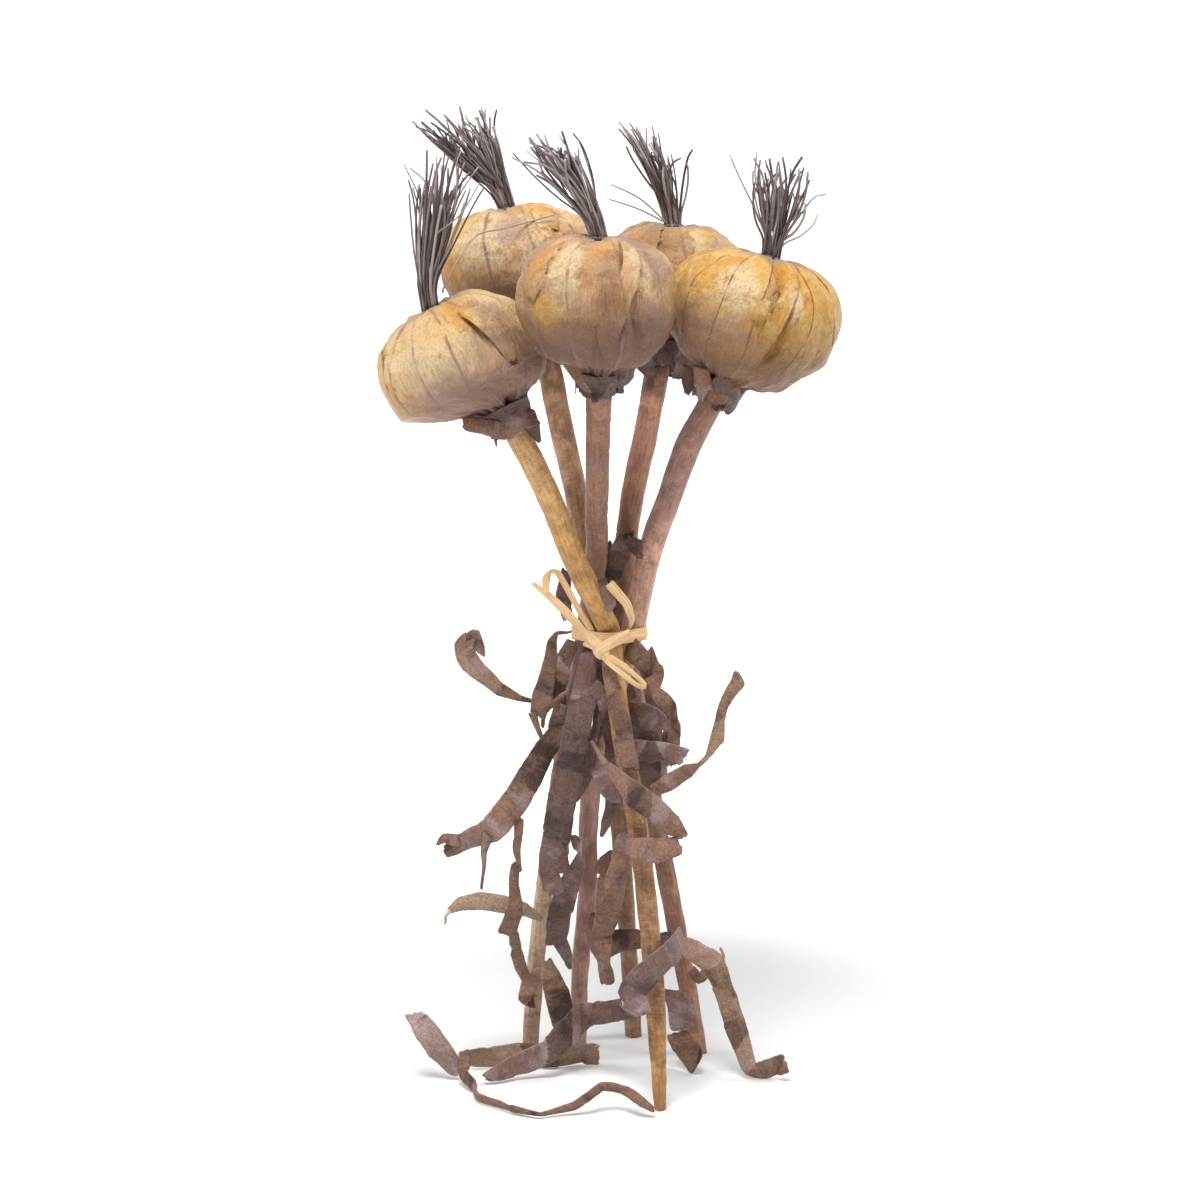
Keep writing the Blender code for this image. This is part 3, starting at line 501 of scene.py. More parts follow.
# Angles round a head are in degrees: -90 faces the viewer, 0 is the right
VEINS = {
    1: (-168, -142, -115, -87, -53, -20, 18, 60, 95, 140),
    2: (-158, -112, -74, -35, 5, 48, 90, 132),
    3: (-150, -113, -72, -40, -8, 35, 75, 118, 160),
    4: (-165, -118, -80, -42, 0, 45, 88, 130),
    5: (-172, -147, -121, -93, -56, -25, 20, 66, 110, 150),
}
# Creases between cloves: angle, where one starts and ends from root to neck, its depth
# (less than nothing is a raised pleat) and its half width
CREASES = {
    1: ((-64, 0.07, 0.52, 0.0026, 0.0036), (-78, 0.12, 0.46, -0.0010, 0.0026),
        (-46, 0.10, 0.62, 0.0022, 0.0024), (-36, 0.10, 0.60, -0.0010, 0.0020),
        (-128, 0.02, 0.30, 0.0008, 0.0030), (30, 0.05, 0.50, 0.0016, 0.0030),
        (100, 0.05, 0.60, 0.0018, 0.0030)),
    2: ((-95, 0.03, 0.45, 0.0014, 0.0030), (-50, 0.02, 0.50, 0.0018, 0.0025),
        (60, 0.05, 0.60, 0.0018, 0.0030), (150, 0.05, 0.60, 0.0018, 0.0030)),
    3: ((-73, 0.16, 0.66, -0.0013, 0.0017), (-61, 0.12, 0.70, 0.0022, 0.0024),
        (-100, 0.30, 0.62, 0.0007, 0.0034), (-150, 0.20, 0.60, 0.0014, 0.0030),
        (40, 0.05, 0.60, 0.0018, 0.0030), (120, 0.05, 0.60, 0.0018, 0.0030)),
    4: ((-100, 0.02, 0.50, 0.0014, 0.0030), (-60, 0.02, 0.50, 0.0014, 0.0030),
        (70, 0.05, 0.60, 0.0020, 0.0030), (140, 0.05, 0.60, 0.0018, 0.0030)),
    5: ((-78, 0.05, 0.66, 0.0030, 0.0022), (-88, 0.12, 0.46, 0.0016, 0.0020),
        (-62, 0.10, 0.56, 0.0012, 0.0022), (-70, 0.10, 0.50, -0.0009, 0.0018),
        (-140, 0.04, 0.32, 0.0009, 0.0028), (-30, 0.06, 0.60, 0.0014, 0.0030),
        (60, 0.05, 0.60, 0.0020, 0.0030)),
}
# Torn edges of the outer skin: angle, which way the bare skin lies (1 is right), start, end
TEARS = {
    1: ((-140, -1, 0.30, 0.52), (150, 1, 0.20, 0.55)),
    2: ((-66, 1, 0.10, 0.52), (100, 1, 0.20, 0.60)),
    3: ((-131, 1, 0.13, 0.46), (80, 1, 0.20, 0.60)),
    4: ((-74, 1, 0.10, 0.50), (60, 1, 0.20, 0.60)),
    5: ((-36, 1, 0.12, 0.44), (-84, 1, 0.24, 0.50), (120, 1, 0.20, 0.60)),
}
# Patches on the skins: sort, angle, place from root to neck, half angle, half length
ZONES = {
    1: (("cream", -100, 0.44, 34, 0.14), ("gold", -72, 0.14, 34, 0.12), ("gold", -168, 0.30, 16, 0.25),
        ("amber", -66, 0.26, 9, 0.09), ("amber", -58, 0.16, 8, 0.06), ("amber", -150, 0.44, 10, 0.06),
        ("veil", -98, 0.56, 45, 0.12), ("veil", -50, 0.50, 30, 0.14), ("brown", -42, 0.36, 16, 0.22),
        ("cream", 60, 0.3, 50, 0.2), ("gold", 130, 0.3, 40, 0.2)),
    2: (("cream", -108, 0.30, 34, 0.18), ("gold", -150, 0.30, 34, 0.25), ("gold", -60, 0.14, 34, 0.10),
        ("amber", -150, 0.42, 14, 0.10), ("amber", -40, 0.20, 16, 0.07), ("veil", -88, 0.30, 16, 0.12),
        ("veil", -110, 0.56, 30, 0.10), ("gold", 60, 0.3, 60, 0.2)),
    3: (("veil", -160, 0.22, 20, 0.20), ("veil", -36, 0.24, 16, 0.20), ("veil", -48, 0.55, 28, 0.12),
        ("amber", -146, 0.26, 11, 0.12), ("amber", -122, 0.13, 16, 0.04), ("amber", -88, 0.20, 5, 0.06),
        ("cream", -116, 0.30, 14, 0.18), ("cream", -55, 0.30, 12, 0.17), ("brown", -84, 0.33, 9, 0.16),
        ("gold", -76, 0.13, 14, 0.06), ("gold", -130, 0.50, 20, 0.08), ("brown", -100, 0.60, 50, 0.10),
        ("gold", 80, 0.3, 60, 0.2)),
    4: (("brown", -120, 0.20, 34, 0.14), ("gold", -132, 0.10, 18, 0.07), ("gold", -60, 0.16, 26, 0.10),
        ("amber", -128, 0.24, 12, 0.05), ("amber", -60, 0.14, 10, 0.03), ("brown", -90, 0.55, 70, 0.16),
        ("gold", 70, 0.3, 60, 0.2)),
    5: (("gold", -92, 0.20, 26, 0.14), ("gold", -40, 0.22, 36, 0.24), ("gold", -128, 0.28, 26, 0.20),
        ("amber", -128, 0.20, 10, 0.07), ("amber", -78, 0.15, 12, 0.07), ("amber", -56, 0.32, 6, 0.06),
        ("amber", -64, 0.20, 8, 0.08), ("cream", -67, 0.34, 8, 0.10), ("cream", -112, 0.34, 20, 0.14),
        ("brown", -84, 0.31, 7, 0.07), ("veil", -120, 0.52, 34, 0.10), ("brown", -60, 0.62, 40, 0.08),
        ("gold", 60, 0.3, 60, 0.24), ("amber", 100, 0.3, 16, 0.1)),
}
ZONE_COLOURS = {
    "gold": (0.66, 0.370, 0.070),
    "cream": (0.71, 0.54, 0.315),
    "veil": (0.36, 0.235, 0.200),
    "brown": (0.29, 0.150, 0.085),
    "amber": (0.62, 0.26, 0.030),
}
ZONE_SHARES = {"gold": 0.80, "cream": 0.85, "veil": 0.62, "brown": 0.62, "amber": 0.66}
LOBE_WAVES = ((5, 0.45), (7, 0.35), (3, 0.35), (2, 0.25))


def head_profile(share, radius, half_height):
    """Radius and height of a head's outside, from the root dip at 0 to the hem at 1."""
    sweep = BODY_SWEEP * min(share, BODY_SHARE) / BODY_SHARE
    ring_radius = radius * math.sin(sweep) ** BODY_SQUARENESS
    height = half_height * math.copysign(abs(math.cos(sweep)) ** BODY_SQUARENESS, math.cos(sweep))
    height -= ROOT_DIP * math.exp(-(ring_radius / ROOT_DIP_SPREAD) ** 2)
    if share <= BODY_SHARE:
        return ring_radius, height
    hem = -half_height - FUNNEL_LENGTH
    neck = ((ring_radius, height, 0.0), (0.0105, -half_height - 0.001, 0.0),
            (HEM_RADIUS + 0.0006, hem + 0.006, 0.0), (HEM_RADIUS, hem, 0.0))
    point = curve_point(neck, (share - BODY_SHARE) / (1 - BODY_SHARE) * (len(neck) - 1))
    return point.x, point.y


def inner_profile(ring, half_height):
    """Radius and height inside the neck's hem, up to the end of the stalk's socket."""
    hem = -half_height - FUNNEL_LENGTH
    inside = ((HEM_RADIUS, hem, 0.0), (HEM_RADIUS - HEM_WALL, hem + 0.0002, 0.0),
              (SOCKET_RADIUS, hem + 0.004, 0.0), (SOCKET_RADIUS, hem + SOCKET_DEPTH, 0.0))
    point = curve_point(inside, ring / INNER_RINGS * (len(inside) - 1))
    return point.x, point.y


def turned_from_up(way):
    """The turn that takes straight up to a way."""
    return Vector((0, 0, 1)).rotation_difference(Vector(way))


def angle_apart(angle, other):
    """The signed angle from other to angle, the short way round."""
    return (angle - other + math.pi) % math.tau - math.pi


class Head:
    """The place of one head: its middle line bends from its axis into line with the stalk."""

    def __init__(self, number):
        centre, way, neck, self.radius, self.half_height = HEADS[number]
        self.number = number
        self.centre = Vector(centre)
        self.way = Vector(way).normalized()
        self.neck = Vector(neck)
        self.stalk_up = (self.neck - Vector(STALKS[f"stem_{number}"][0][0])).normalized()
        self.hem = -self.half_height - FUNNEL_LENGTH
        self.body_turn = turned_from_up(self.way)
        self.neck_turn = turned_from_up(self.stalk_up)
        self.start = self.centre - self.way * self.half_height * NECK_BEND
        self.end = self.neck + self.stalk_up * SOCKET_DEPTH
        draw = random.Random(number)
        self.waves = [(count, share, draw.uniform(0, math.tau)) for count, share in LOBE_WAVES]
        draw = random.Random(number + 100)
        self.flaps = [(draw.uniform(0, math.tau), draw.uniform(0.5, 1.0)) for _ in range(FLAPS_A_HEAD)]

    def bend_share(self, height):
        """How far a height is along the bend from the body's axis to the stalk, 0 to 1."""
        start = -self.half_height * NECK_BEND
        return max(0.0, min(1.0, (start - height) / (start - self.hem - SOCKET_DEPTH)))

    def middle(self, height):
        """The point on the middle line at a height."""
        if height <= self.hem + SOCKET_DEPTH:
            return self.neck + self.stalk_up * (height - self.hem)
        share = self.bend_share(height)
        if share == 0.0:
            return self.centre + self.way * height
        bend = self.end + self.stalk_up * (self.start - self.end).length * NECK_BEND
        return (self.start * (1 - share) ** 2 + bend * 2 * share * (1 - share)
                + self.end * share ** 2)

    def ring_turn(self, height):
        """The turn from straight up to the middle line at a height."""
        return self.body_turn.slerp(self.neck_turn, self.bend_share(height))

    def ring_point(self, angle, ring_radius, height):
        """A point at an angle on a ring."""
        outward = self.ring_turn(height) @ Vector((math.cos(angle), math.sin(angle), 0.0))
        return self.middle(height) + outward * ring_radius

    def swell(self, angle, ring_radius):
        """The ring's radius with the lobes that the cloves push out."""
        lobes = sum(share * math.cos(count * angle + phase) for count, share, phase in self.waves)
        return ring_radius * (1 + LOBE_DEPTH * lobes * (ring_radius / self.radius) ** 2)

    def flap_share(self, angle):
        """How far a torn flap of the hem stands out at an angle, 0 to 1."""
        return max(0.0, *(strength * (1 - abs(angle_apart(angle, place)) / FLAP_SPREAD)
                          for place, strength in self.flaps))

    def slope(self, share):
        """The way along the profile at a share, as its run outwards and its run upwards."""
        before = head_profile(max(0.0, share - 0.004), self.radius, self.half_height)
        after = head_profile(min(1.0, share + 0.004), self.radius, self.half_height)
        return Vector((after[0] - before[0], after[1] - before[1])).normalized()

    def surface(self, angle, share, lift=0.0):
        """A point on the skin, or lifted off it."""
        ring_radius, height = head_profile(share, self.radius, self.half_height)
        if share <= BODY_SHARE:
            ring_radius = self.swell(angle, ring_radius)
        slope = self.slope(share)
        upward = self.ring_turn(height) @ Vector((0, 0, 1))
        return self.ring_point(angle, ring_radius - slope.y * lift, height) + upward * slope.x * lift


def vein_angles(number, share):
    """The angle of each vein of a head at a share of the way from root to neck."""
    wander = 0.10 * noise.noise(Vector((share * 3.0, number * 7.3, 0.0)))
    return [math.radians(vein) + wander + 0.07 * noise.noise(Vector((share * 3.6, number, vein * 0.7)))
            for vein in VEINS[number]]


def vein_place(veins, angle):
    """Cosine and sine of the place between two veins, and the gap between them."""
    for start, place in enumerate(veins):
        gap = (veins[(start + 1) % len(veins)] - place) % math.tau
        past = (angle - place) % math.tau
        if past < gap:
            turn = math.tau * past / gap
            return math.cos(turn), math.sin(turn), gap
    return 1.0, 0.0, 1.0


def torn_skin(number, angle, share, ring_radius):
    """How far past a torn edge a point is, how strong the tear is there, and the edge's lift."""
    nearest = FAR_FROM_TEAR
    strength = 0.0
    lift = 0.0
    for tear, side, start, end in TEARS[number]:
        window = min(share - start, end - share) * SKIN_LENGTH
        if window < -TEAR_FADE:
            continue
        spot = Vector((share * 26.0, tear * 0.13, number))
        ragged = TEAR_RAG * noise.noise(spot) + FINE_TEAR_RAG * noise.noise(spot * 3.7)
        past = side * angle_apart(angle, math.radians(tear)) * ring_radius + ragged
        held = soft_step(-TEAR_FADE, TEAR_FULL, window)
        if held > 0.0 and past > nearest:
            nearest = past
            strength = held
        if past < 0.0:
            lift += LIP_HEIGHT * held * math.exp(past / LIP_REACH)
        else:
            lift += LIP_HEIGHT * held * (1 - soft_step(0.0, TEAR_DROP, past))
    return nearest, strength, lift


def crease_depth(number, angle, share, ring_radius):
    """How deep the skin sinks between two cloves, less than nothing where it is pleated."""
    depth = 0.0
    for crease, start, end, deep, half_width in CREASES[number]:
        if start < share < end:
            apart = angle_apart(angle, math.radians(crease) + 0.12 * math.sin(share * 9 + crease))
            across = apart * ring_radius / half_width
            window = soft_step(start, start + 0.10, share) * (1 - soft_step(end - 0.14, end, share))
            depth += deep * window * math.exp(-across * across)
    return depth


def new_skin_form():
    """An empty bmesh whose points carry all that the skin's colours follow."""
    form = bmesh.new()
    form.verts.layers.float_vector.new("way")
    form.verts.layers.float_vector.new("vein")
    for name in ("down", "torn", "bare", "sunk", "pleat", *ZONE_COLOURS):
        form.verts.layers.float.new(name)
    return form


def zone_strength(number, kind, angle, share):
    """How strongly a kind of patch shows at a place on a head, 0 to 1."""
    strength = 0.0
    for sort, middle, level, half_angle, half_share in ZONES[number]:
        if sort == kind:
            across = math.degrees(angle_apart(angle, math.radians(middle))) / half_angle
            along = (share - level) / half_share
            strength = max(strength, math.exp(-0.7 * (across * across + along * along)))
    return strength


def make_head(number):
    """One head: lobed, creased and wrinkled skin down to a gathered neck round the stalk."""
    head = Head(number)
    form = new_skin_form()
    way = form.verts.layers.float_vector["way"]
    vein = form.verts.layers.float_vector["vein"]
    down, torn, bare, sunk, pleat = (form.verts.layers.float[name]
                                     for name in ("down", "torn", "bare", "sunk", "pleat"))
    zones = {kind: form.verts.layers.float[kind] for kind in ZONE_COLOURS}
    rings = HEAD_RINGS + INNER_RINGS
    profile = []
    for ring in range(rings + 1):
        share = min(ring, HEAD_RINGS) / HEAD_RINGS
        if ring > HEAD_RINGS:
            ring_radius, height = inner_profile(ring - HEAD_RINGS, head.half_height)
        else:
            ring_radius, height = head_profile(share, head.radius, head.half_height)
        profile.append((share, ring_radius, height, head.slope(share), head.middle(height),
                        head.ring_turn(height), vein_angles(number, share)))
    for ring, angle, vertex in tube_round(form, rings, HEAD_SIDES):
        share, ring_radius, height, slope, middle, turn, veins = profile[ring]
        if ring in (0, rings):
            vertex.co = middle
            vertex[down] = share
            vertex[torn] = FAR_FROM_TEAR * 1000
            continue
        if share <= BODY_SHARE:
            ring_radius = head.swell(angle, ring_radius)
        x, y = math.cos(angle), math.sin(angle)
        past, bareness, lift = torn_skin(number, angle, share, ring_radius)
        crease = crease_depth(number, angle, share, ring_radius)
        hem_lift = 0.0
        if ring <= HEAD_RINGS:
            seen = Vector((x, y, share * 3.0 + number * 4.0))
            gather = soft_step(0.50, 0.86, share)
            crown = 1 - soft_step(0.02, 0.20, share)
            ridge = noise.noise(Vector((x * 5.5, y * 5.5, share * 2.0 + number)))
            fine_ridge = 0.32 - abs(noise.noise(Vector((x * 8.0, y * 8.0, share * 1.6 - number))))
            lift += (GATHER_DEPTH * gather + CROWN_DEPTH * crown) * ridge
            lift += NECK_PLEAT_DEPTH * gather * fine_ridge
            # How deep each pleat's valley lies, for the painted shade in it.
            vertex[pleat] = (0.7 * soft_step(0.10, 0.34, fine_ridge) - 0.5 * ridge) * gather
            lift += DENT_DEPTH * noise.noise(seen * 2.6) + WRINKLE_DEPTH * noise.noise(seen * 7.0)
            lift += SKIN_GRAIN_DEPTH * noise.noise(Vector((x * 18, y * 18, share * 26 + number)))
            lift -= crease
            cosine, sine, gap = vein_place(veins, angle)
            off_vein = abs(math.atan2(sine, cosine)) / math.tau * gap * ring_radius
            vein_lift = VEIN_HEIGHT * math.exp(-(off_vein / VEIN_HALF_WIDTH) ** 2)
            lift += vein_lift * soft_step(0.06, 0.14, share)
            vertex[vein] = (cosine, sine, gap * ring_radius)
        if share > HEM_START and ring < HEAD_RINGS + 4:
            hem_part = soft_step(HEM_START, 1.0, share)
            hem_lift = HEM_WAVE * abs(noise.noise(Vector((x * 3, y * 3, number)))) * hem_part
            lift += FLAP_REACH * head.flap_share(angle) * hem_part
        out = ring_radius - slope.y * lift
        rise = slope.x * lift + hem_lift
        vertex.co = middle + turn @ Vector((x * out, y * out, rise))
        vertex[way] = (x * ring_radius, y * ring_radius, share * SKIN_LENGTH + number)
        vertex[down] = share
        vertex[torn] = past * 1000
        vertex[bare] = bareness
        vertex[sunk] = crease * 1000
        for kind, layer in zones.items():
            vertex[layer] = zone_strength(number, kind, angle, share)
    bmesh.ops.recalc_face_normals(form, faces=form.faces)
    return form


# Loose layers of skin that stand off a head: angle, half width as an angle, start, end, how far
# the free edge stands off (on the left if less than nothing), how far it leans from top to bottom
PEELS = {
    1: ((-166, 15, 0.24, 0.56, -0.0006, 0), (-86, 9, 0.16, 0.34, 0.0006, 0),
        (-52, 7, 0.20, 0.52, 0.0009, 10)),
    2: ((-60, 16, 0.08, 0.34, 0.0007, 0), (120, 20, 0.20, 0.55, 0.0010, 0)),
    3: ((-143, 12, 0.14, 0.44, 0.0007, 0), (-70, 8, 0.12, 0.64, 0.0016, -27),
        (100, 20, 0.20, 0.55, 0.0010, 0)),
    4: ((-118, 14, 0.10, 0.34, 0.0006, 0), (80, 20, 0.20, 0.55, 0.0010, 0)),
    5: ((6, 20, 0.12, 0.46, 0.0030, 0), (-92, 8, 0.22, 0.44, 0.0007, 0), (-74, 6, 0.10, 0.56, 0.0009, -14),
        (140, 20, 0.20, 0.55, 0.0010, 0)),
}
PEEL_GAP = 0.0002
PEEL_THICKNESS = 0.00012
PEEL_WAVE = 0.0004


def add_peel(form, head, angle, half_width, start, end, stand_off, lean):
    """Add a loose layer of skin to a bmesh, held along one side and torn along the other."""
    way = form.verts.layers.float_vector["way"]
    vein = form.verts.layers.float_vector["vein"]
    down, torn, bare = (form.verts.layers.float[name] for name in ("down", "torn", "bare"))
    free = math.copysign(1.0, stand_off)
    made = bmesh.ops.create_grid(form, x_segments=26, y_segments=34, size=0.5)
    for vertex in made["verts"]:
        across, along = vertex.co.x * 2, vertex.co.y + 0.5
        spot = Vector((along * 5.0, angle, head.number))
        out_share = max(0.0, across * free)
        ragged = 0.30 * noise.noise(spot) + 0.16 * noise.noise(spot * 3.3)
        turn = math.radians(angle + half_width * across * (1 + ragged * out_share) + lean * (along - 0.5))
        ends = 0.05 * noise.noise(Vector((across * 2.2, along > 0.5, angle)))
        taper = (1 - abs(across) ** 3 * 0.35)
        share = blend(start, end, 0.5 + (along - 0.5) * taper) + ends * abs(along - 0.5)
        held = math.sin(math.pi * along) ** 0.5
        lift = PEEL_GAP + abs(stand_off) * soft_step(-1.0, 1.0, across * free) ** 2 * held
        lift += PEEL_WAVE * noise.noise(Vector((across * 2.0, along * 3.0, angle))) * held
        vertex.co = head.surface(turn, share, lift)
        ring_radius = head_profile(share, head.radius, head.half_height)[0]
        vertex[way] = (math.cos(turn) * ring_radius, math.sin(turn) * ring_radius,
                       share * SKIN_LENGTH + head.number + 0.3)
        vertex[vein] = (-1.0, 0.0, 0.02)
        vertex[down] = share
        vertex[torn] = min(1 - across * free, 1 - abs(along - 0.5) * 2) * -6.0
        vertex[bare] = 1.0
        for kind in ZONE_COLOURS:
            vertex[form.verts.layers.float[kind]] = zone_strength(head.number, kind, turn, share)


def thicken(piece, thickness):
    """Give a sheet its thickness, half to each side."""
    shell = piece.modifiers.new("thickness", "SOLIDIFY")
    shell.thickness = thickness
    shell.offset = 0.0


def make_skin(name, pale, tan, stain_level, low, line, vein_width, vein_colour):
    """Papery skin: pale and tan blotches, its patches, fibres, stains, veins, a dark neck, and painted shade
    low down and in folds.
    """
    finish, tree, shader = new_finish(name, 0.46, 0.42)
    way = read_way(tree)
    down = read_value(tree, "down")
    fibres = grain_of(tree, way, 1500.0, 9.0, 46.0)
    flecks = grain_of(tree, way, 300.0, 2.2, 135.0)
    slanted = add_node(tree, "Mapping", {"Vector": way, "Rotation": (0.5, 0.35, 0.6)})
    lines = grain_of(tree, slanted.outputs[0], 1100.0, 14.0, 85.0)
    crossing = grain_of(tree, way, 420.0, 0.20, 60.0)
    colour = paint(tree, tan, pale, soft_mask(tree, fibres["Blotches"], 0.42, 0.58))
    uneven = calculate(tree, "ADD", calculate(tree, "MULTIPLY", flecks["Blotches"], 0.75),
                       calculate(tree, "MULTIPLY", lines["Streaks"], 0.45))
    for kind, zone_colour in ZONE_COLOURS.items():
        reach = calculate(tree, "MULTIPLY_ADD", uneven, 1.8, read_value(tree, kind))
        mask = soft_mask(tree, reach, 1.44, 1.94)
        colour = glaze(tree, colour, zone_colour, mask, ZONE_SHARES[kind])
    torn = read_value(tree, "torn")
    bare = calculate(tree, "MULTIPLY", soft_mask(tree, torn, -0.05, 0.30), soft_mask(tree, torn, 9.0, 2.0))
    bare = calculate(tree, "MULTIPLY", bare, read_value(tree, "bare"))
    colour = glaze(tree, colour, INNER_SKIN, bare, 0.70)
    spread = calculate(tree, "MULTIPLY_ADD", read_value(tree, "sunk"), 0.030, flecks["Streaks"])
    stained = soft_mask(tree, spread, stain_level, stain_level + 0.08)
    colour = glaze(tree, colour, AMBER_STAIN, stained, 0.55)
    both = calculate(tree, "MULTIPLY_ADD", lines["Blotches"], 0.5,
                     calculate(tree, "MULTIPLY", spread, 0.5))
    deep = soft_mask(tree, both, stain_level + 0.015, stain_level + 0.055)
    colour = glaze(tree, colour, DEEP_AMBER, deep, 0.60)
    rim = calculate(tree, "MULTIPLY", soft_mask(tree, torn, -2.2, -0.1), soft_mask(tree, torn, 0.3, 0.0))
    rim = calculate(tree, "MULTIPLY", rim, read_value(tree, "bare"))
    colour = glaze(tree, colour, TORN_RIM, rim, 0.50)
    thread = soft_mask(tree, lines["Streaks"], 0.55, 0.66)
    colour = glaze(tree, colour, line, thread, 0.50)
    crown = soft_mask(tree, calculate(tree, "MULTIPLY_ADD", lines["Blotches"], 0.12, down), 0.225, 0.12)
    colour = glaze(tree, colour, CROWN_SKIN, crown, 0.75)
    # Darker down the lower side and near black at the neck: partly the skin's own mauve brown, partly painted
    # shade.
    lower = calculate(tree, "MULTIPLY_ADD", fibres["Blotches"], 0.30, down)
    under = calculate(tree, "MULTIPLY_ADD", crossing["Streaks"], 0.25, lower)
    colour = glaze(tree, colour, low, soft_mask(tree, under, 0.60, 0.94), 0.92)
    colour = paint(tree, colour, NECK_SKIN_AND_SHADE, soft_mask(tree, lower, 0.88, 1.01))
    # Painted shade in the valleys of the neck's pleats.
    folded = soft_mask(tree, read_value(tree, "pleat"), 0.12, 0.62)
    colour = glaze(tree, colour, FOLD_SHADE, folded, 0.62)
    turn = add_node(tree, "SeparateXYZ", {0: read_way(tree, "vein")})
    phase = calculate(tree, "ARCTAN2", turn.outputs[1], turn.outputs[0])
    share = calculate(tree, "DIVIDE", calculate(tree, "ABSOLUTE", phase), math.tau)
    off_vein = calculate(tree, "MULTIPLY", share, turn.outputs[2])
    wavy = calculate(tree, "MULTIPLY_ADD", fibres["Blotches"], vein_width * 0.9, off_vein)
    vein = soft_mask(tree, wavy, vein_width * 1.75, vein_width * 0.55)
    broken = soft_mask(tree, lines["Blotches"], 0.38, 0.56)
    faint = calculate(tree, "MULTIPLY", vein, calculate(tree, "MULTIPLY_ADD", broken, 0.62, 0.26))
    faint = calculate(tree, "MULTIPLY", faint, soft_mask(tree, down, 0.04, 0.13))
    colour = paint(tree, colour, vein_colour, faint)
    light = calculate(tree, "MULTIPLY_ADD", soft_mask(tree, fibres["Streaks"], 0.30, 0.70), 0.30, 0.72)
    speck = calculate(tree, "MULTIPLY_ADD", soft_mask(tree, flecks["Grain"], 0.30, 0.70), 0.10, 0.0)
    colour = shade(tree, colour, calculate(tree, "ADD", light, speck))
    tree.links.new(colour, shader.inputs["Base Color"])
    rough = calculate(tree, "MULTIPLY_ADD", fibres["Blotches"], 0.44, 0.15)
    tree.links.new(rough, shader.inputs["Roughness"])
    relief = calculate(tree, "MULTIPLY_ADD", lines["Streaks"], 0.8, fibres["Streaks"])
    relief = calculate(tree, "MULTIPLY_ADD", flecks["Blotches"], 1.8, relief)
    raise_bumps(tree, shader, relief, 0.00085, 0.9)
    return finish


INNER_SKIN = (0.74, 0.55, 0.33)
TORN_RIM = (0.45, 0.20, 0.045)
CROWN_SKIN = (0.33, 0.235, 0.185)
NECK_SKIN_AND_SHADE = (0.105, 0.062, 0.052)
FOLD_SHADE = (0.125, 0.068, 0.050)
AMBER_STAIN = (0.60, 0.30, 0.055)
DEEP_AMBER = (0.50, 0.19, 0.020)
MAUVE_VEIN = (0.28, 0.16, 0.15)
DARK_VEIN = (0.15, 0.065, 0.060)
# The colour after each skin's stain level is the tone of its lower side, partly painted shade.
SKINS = {
    1: ("skin_cream", make_skin("skin_cream", (0.68, 0.49, 0.275), (0.72, 0.455, 0.205), 0.580,
                                (0.285, 0.155, 0.115), (0.50, 0.31, 0.13), 0.0009, MAUVE_VEIN)),
    2: ("skin_olive", make_skin("skin_olive", (0.70, 0.48, 0.26), (0.57, 0.330, 0.135), 0.560,
                                (0.25, 0.145, 0.115), (0.36, 0.20, 0.09), 0.0009, MAUVE_VEIN)),
    3: ("skin_gold", make_skin("skin_gold", (0.57, 0.345, 0.17), (0.41, 0.210, 0.080), 0.560,
                               (0.165, 0.080, 0.055), (0.33, 0.165, 0.07), 0.0007, MAUVE_VEIN)),
    4: ("skin_olive", make_skin("skin_dull", (0.53, 0.340, 0.175), (0.42, 0.225, 0.095), 0.570,
                                (0.12, 0.068, 0.050), (0.28, 0.155, 0.07), 0.0008, MAUVE_VEIN)),
    5: ("skin_gold", make_skin("skin_yellow", (0.70, 0.450, 0.150), (0.55, 0.290, 0.055), 0.550,
                               (0.205, 0.098, 0.052), (0.40, 0.19, 0.06), 0.00045, DARK_VEIN)),
}

for number in HEADS:
    slot, skin = SKINS[number]
    finish_piece(f"head_{number}", make_head(number), [skin], [f"bulb_{number}"])
    peels = new_skin_form()
    for angle, half_width, start, end, stand_off, lean in PEELS[number]:
        add_peel(peels, Head(number), angle, half_width, start, end, stand_off, lean)
    bmesh.ops.recalc_face_normals(peels, faces=peels.faces)
    thicken(finish_piece(f"skin_peels_{number}", peels, [skin], []), PEEL_THICKNESS)

# Dead leaves. The plants' dried leaves hang from the stalks in long torn ribbons, thin
# as paper: brown to mauve grey with golden patches and a dull lilac bloom, partly a
# painted sheen, creased across where they were crushed, and ragged along their edges.
# Each flat stretch between two creases is painted lighter or darker as light and shade.
LEAF_STEP = 0.0009
LEAF_COLUMNS = 12
LEAF_THICKNESS = 0.00032
LEAF_SHARPNESS = 0.62
LEAF_CAMBER = 0.0008
LEAF_WAVE = 0.0007
LEAF_WAVE_PITCH = 0.026
FLOOR_GAP = 0.0005
FOLD_DEPTH = 0.0014
FOLD_PITCH = (0.0065, 0.0180)
FOLD_TURN = 0.0012
CROSS_CRINKLE = 0.00007
FINE_CRINKLE = 0.00010
PUCKER_DEPTH = 0.00050
END_JAG = 0.0009
END_TAPER = 0.0011
END_REACH = 0.0045


def crush_folds(draw, length):
    """Creases across a crushed leaf, each as its place, height, slant, and the tilt and painted shade of its
    flat stretch.
    """
    folds = [(-0.02, 0.0, 0.0, 0.0, 0.5)]
    way = 1
    run = -0.004
    while run < length:
        run += draw.uniform(*FOLD_PITCH)
        folds.append((run, way * draw.uniform(0.35, 1.0), draw.uniform(-0.9, 0.9),
                      draw.uniform(-0.42, 0.42), draw.uniform(0.0, 1.0)))
        way = -way
    return folds


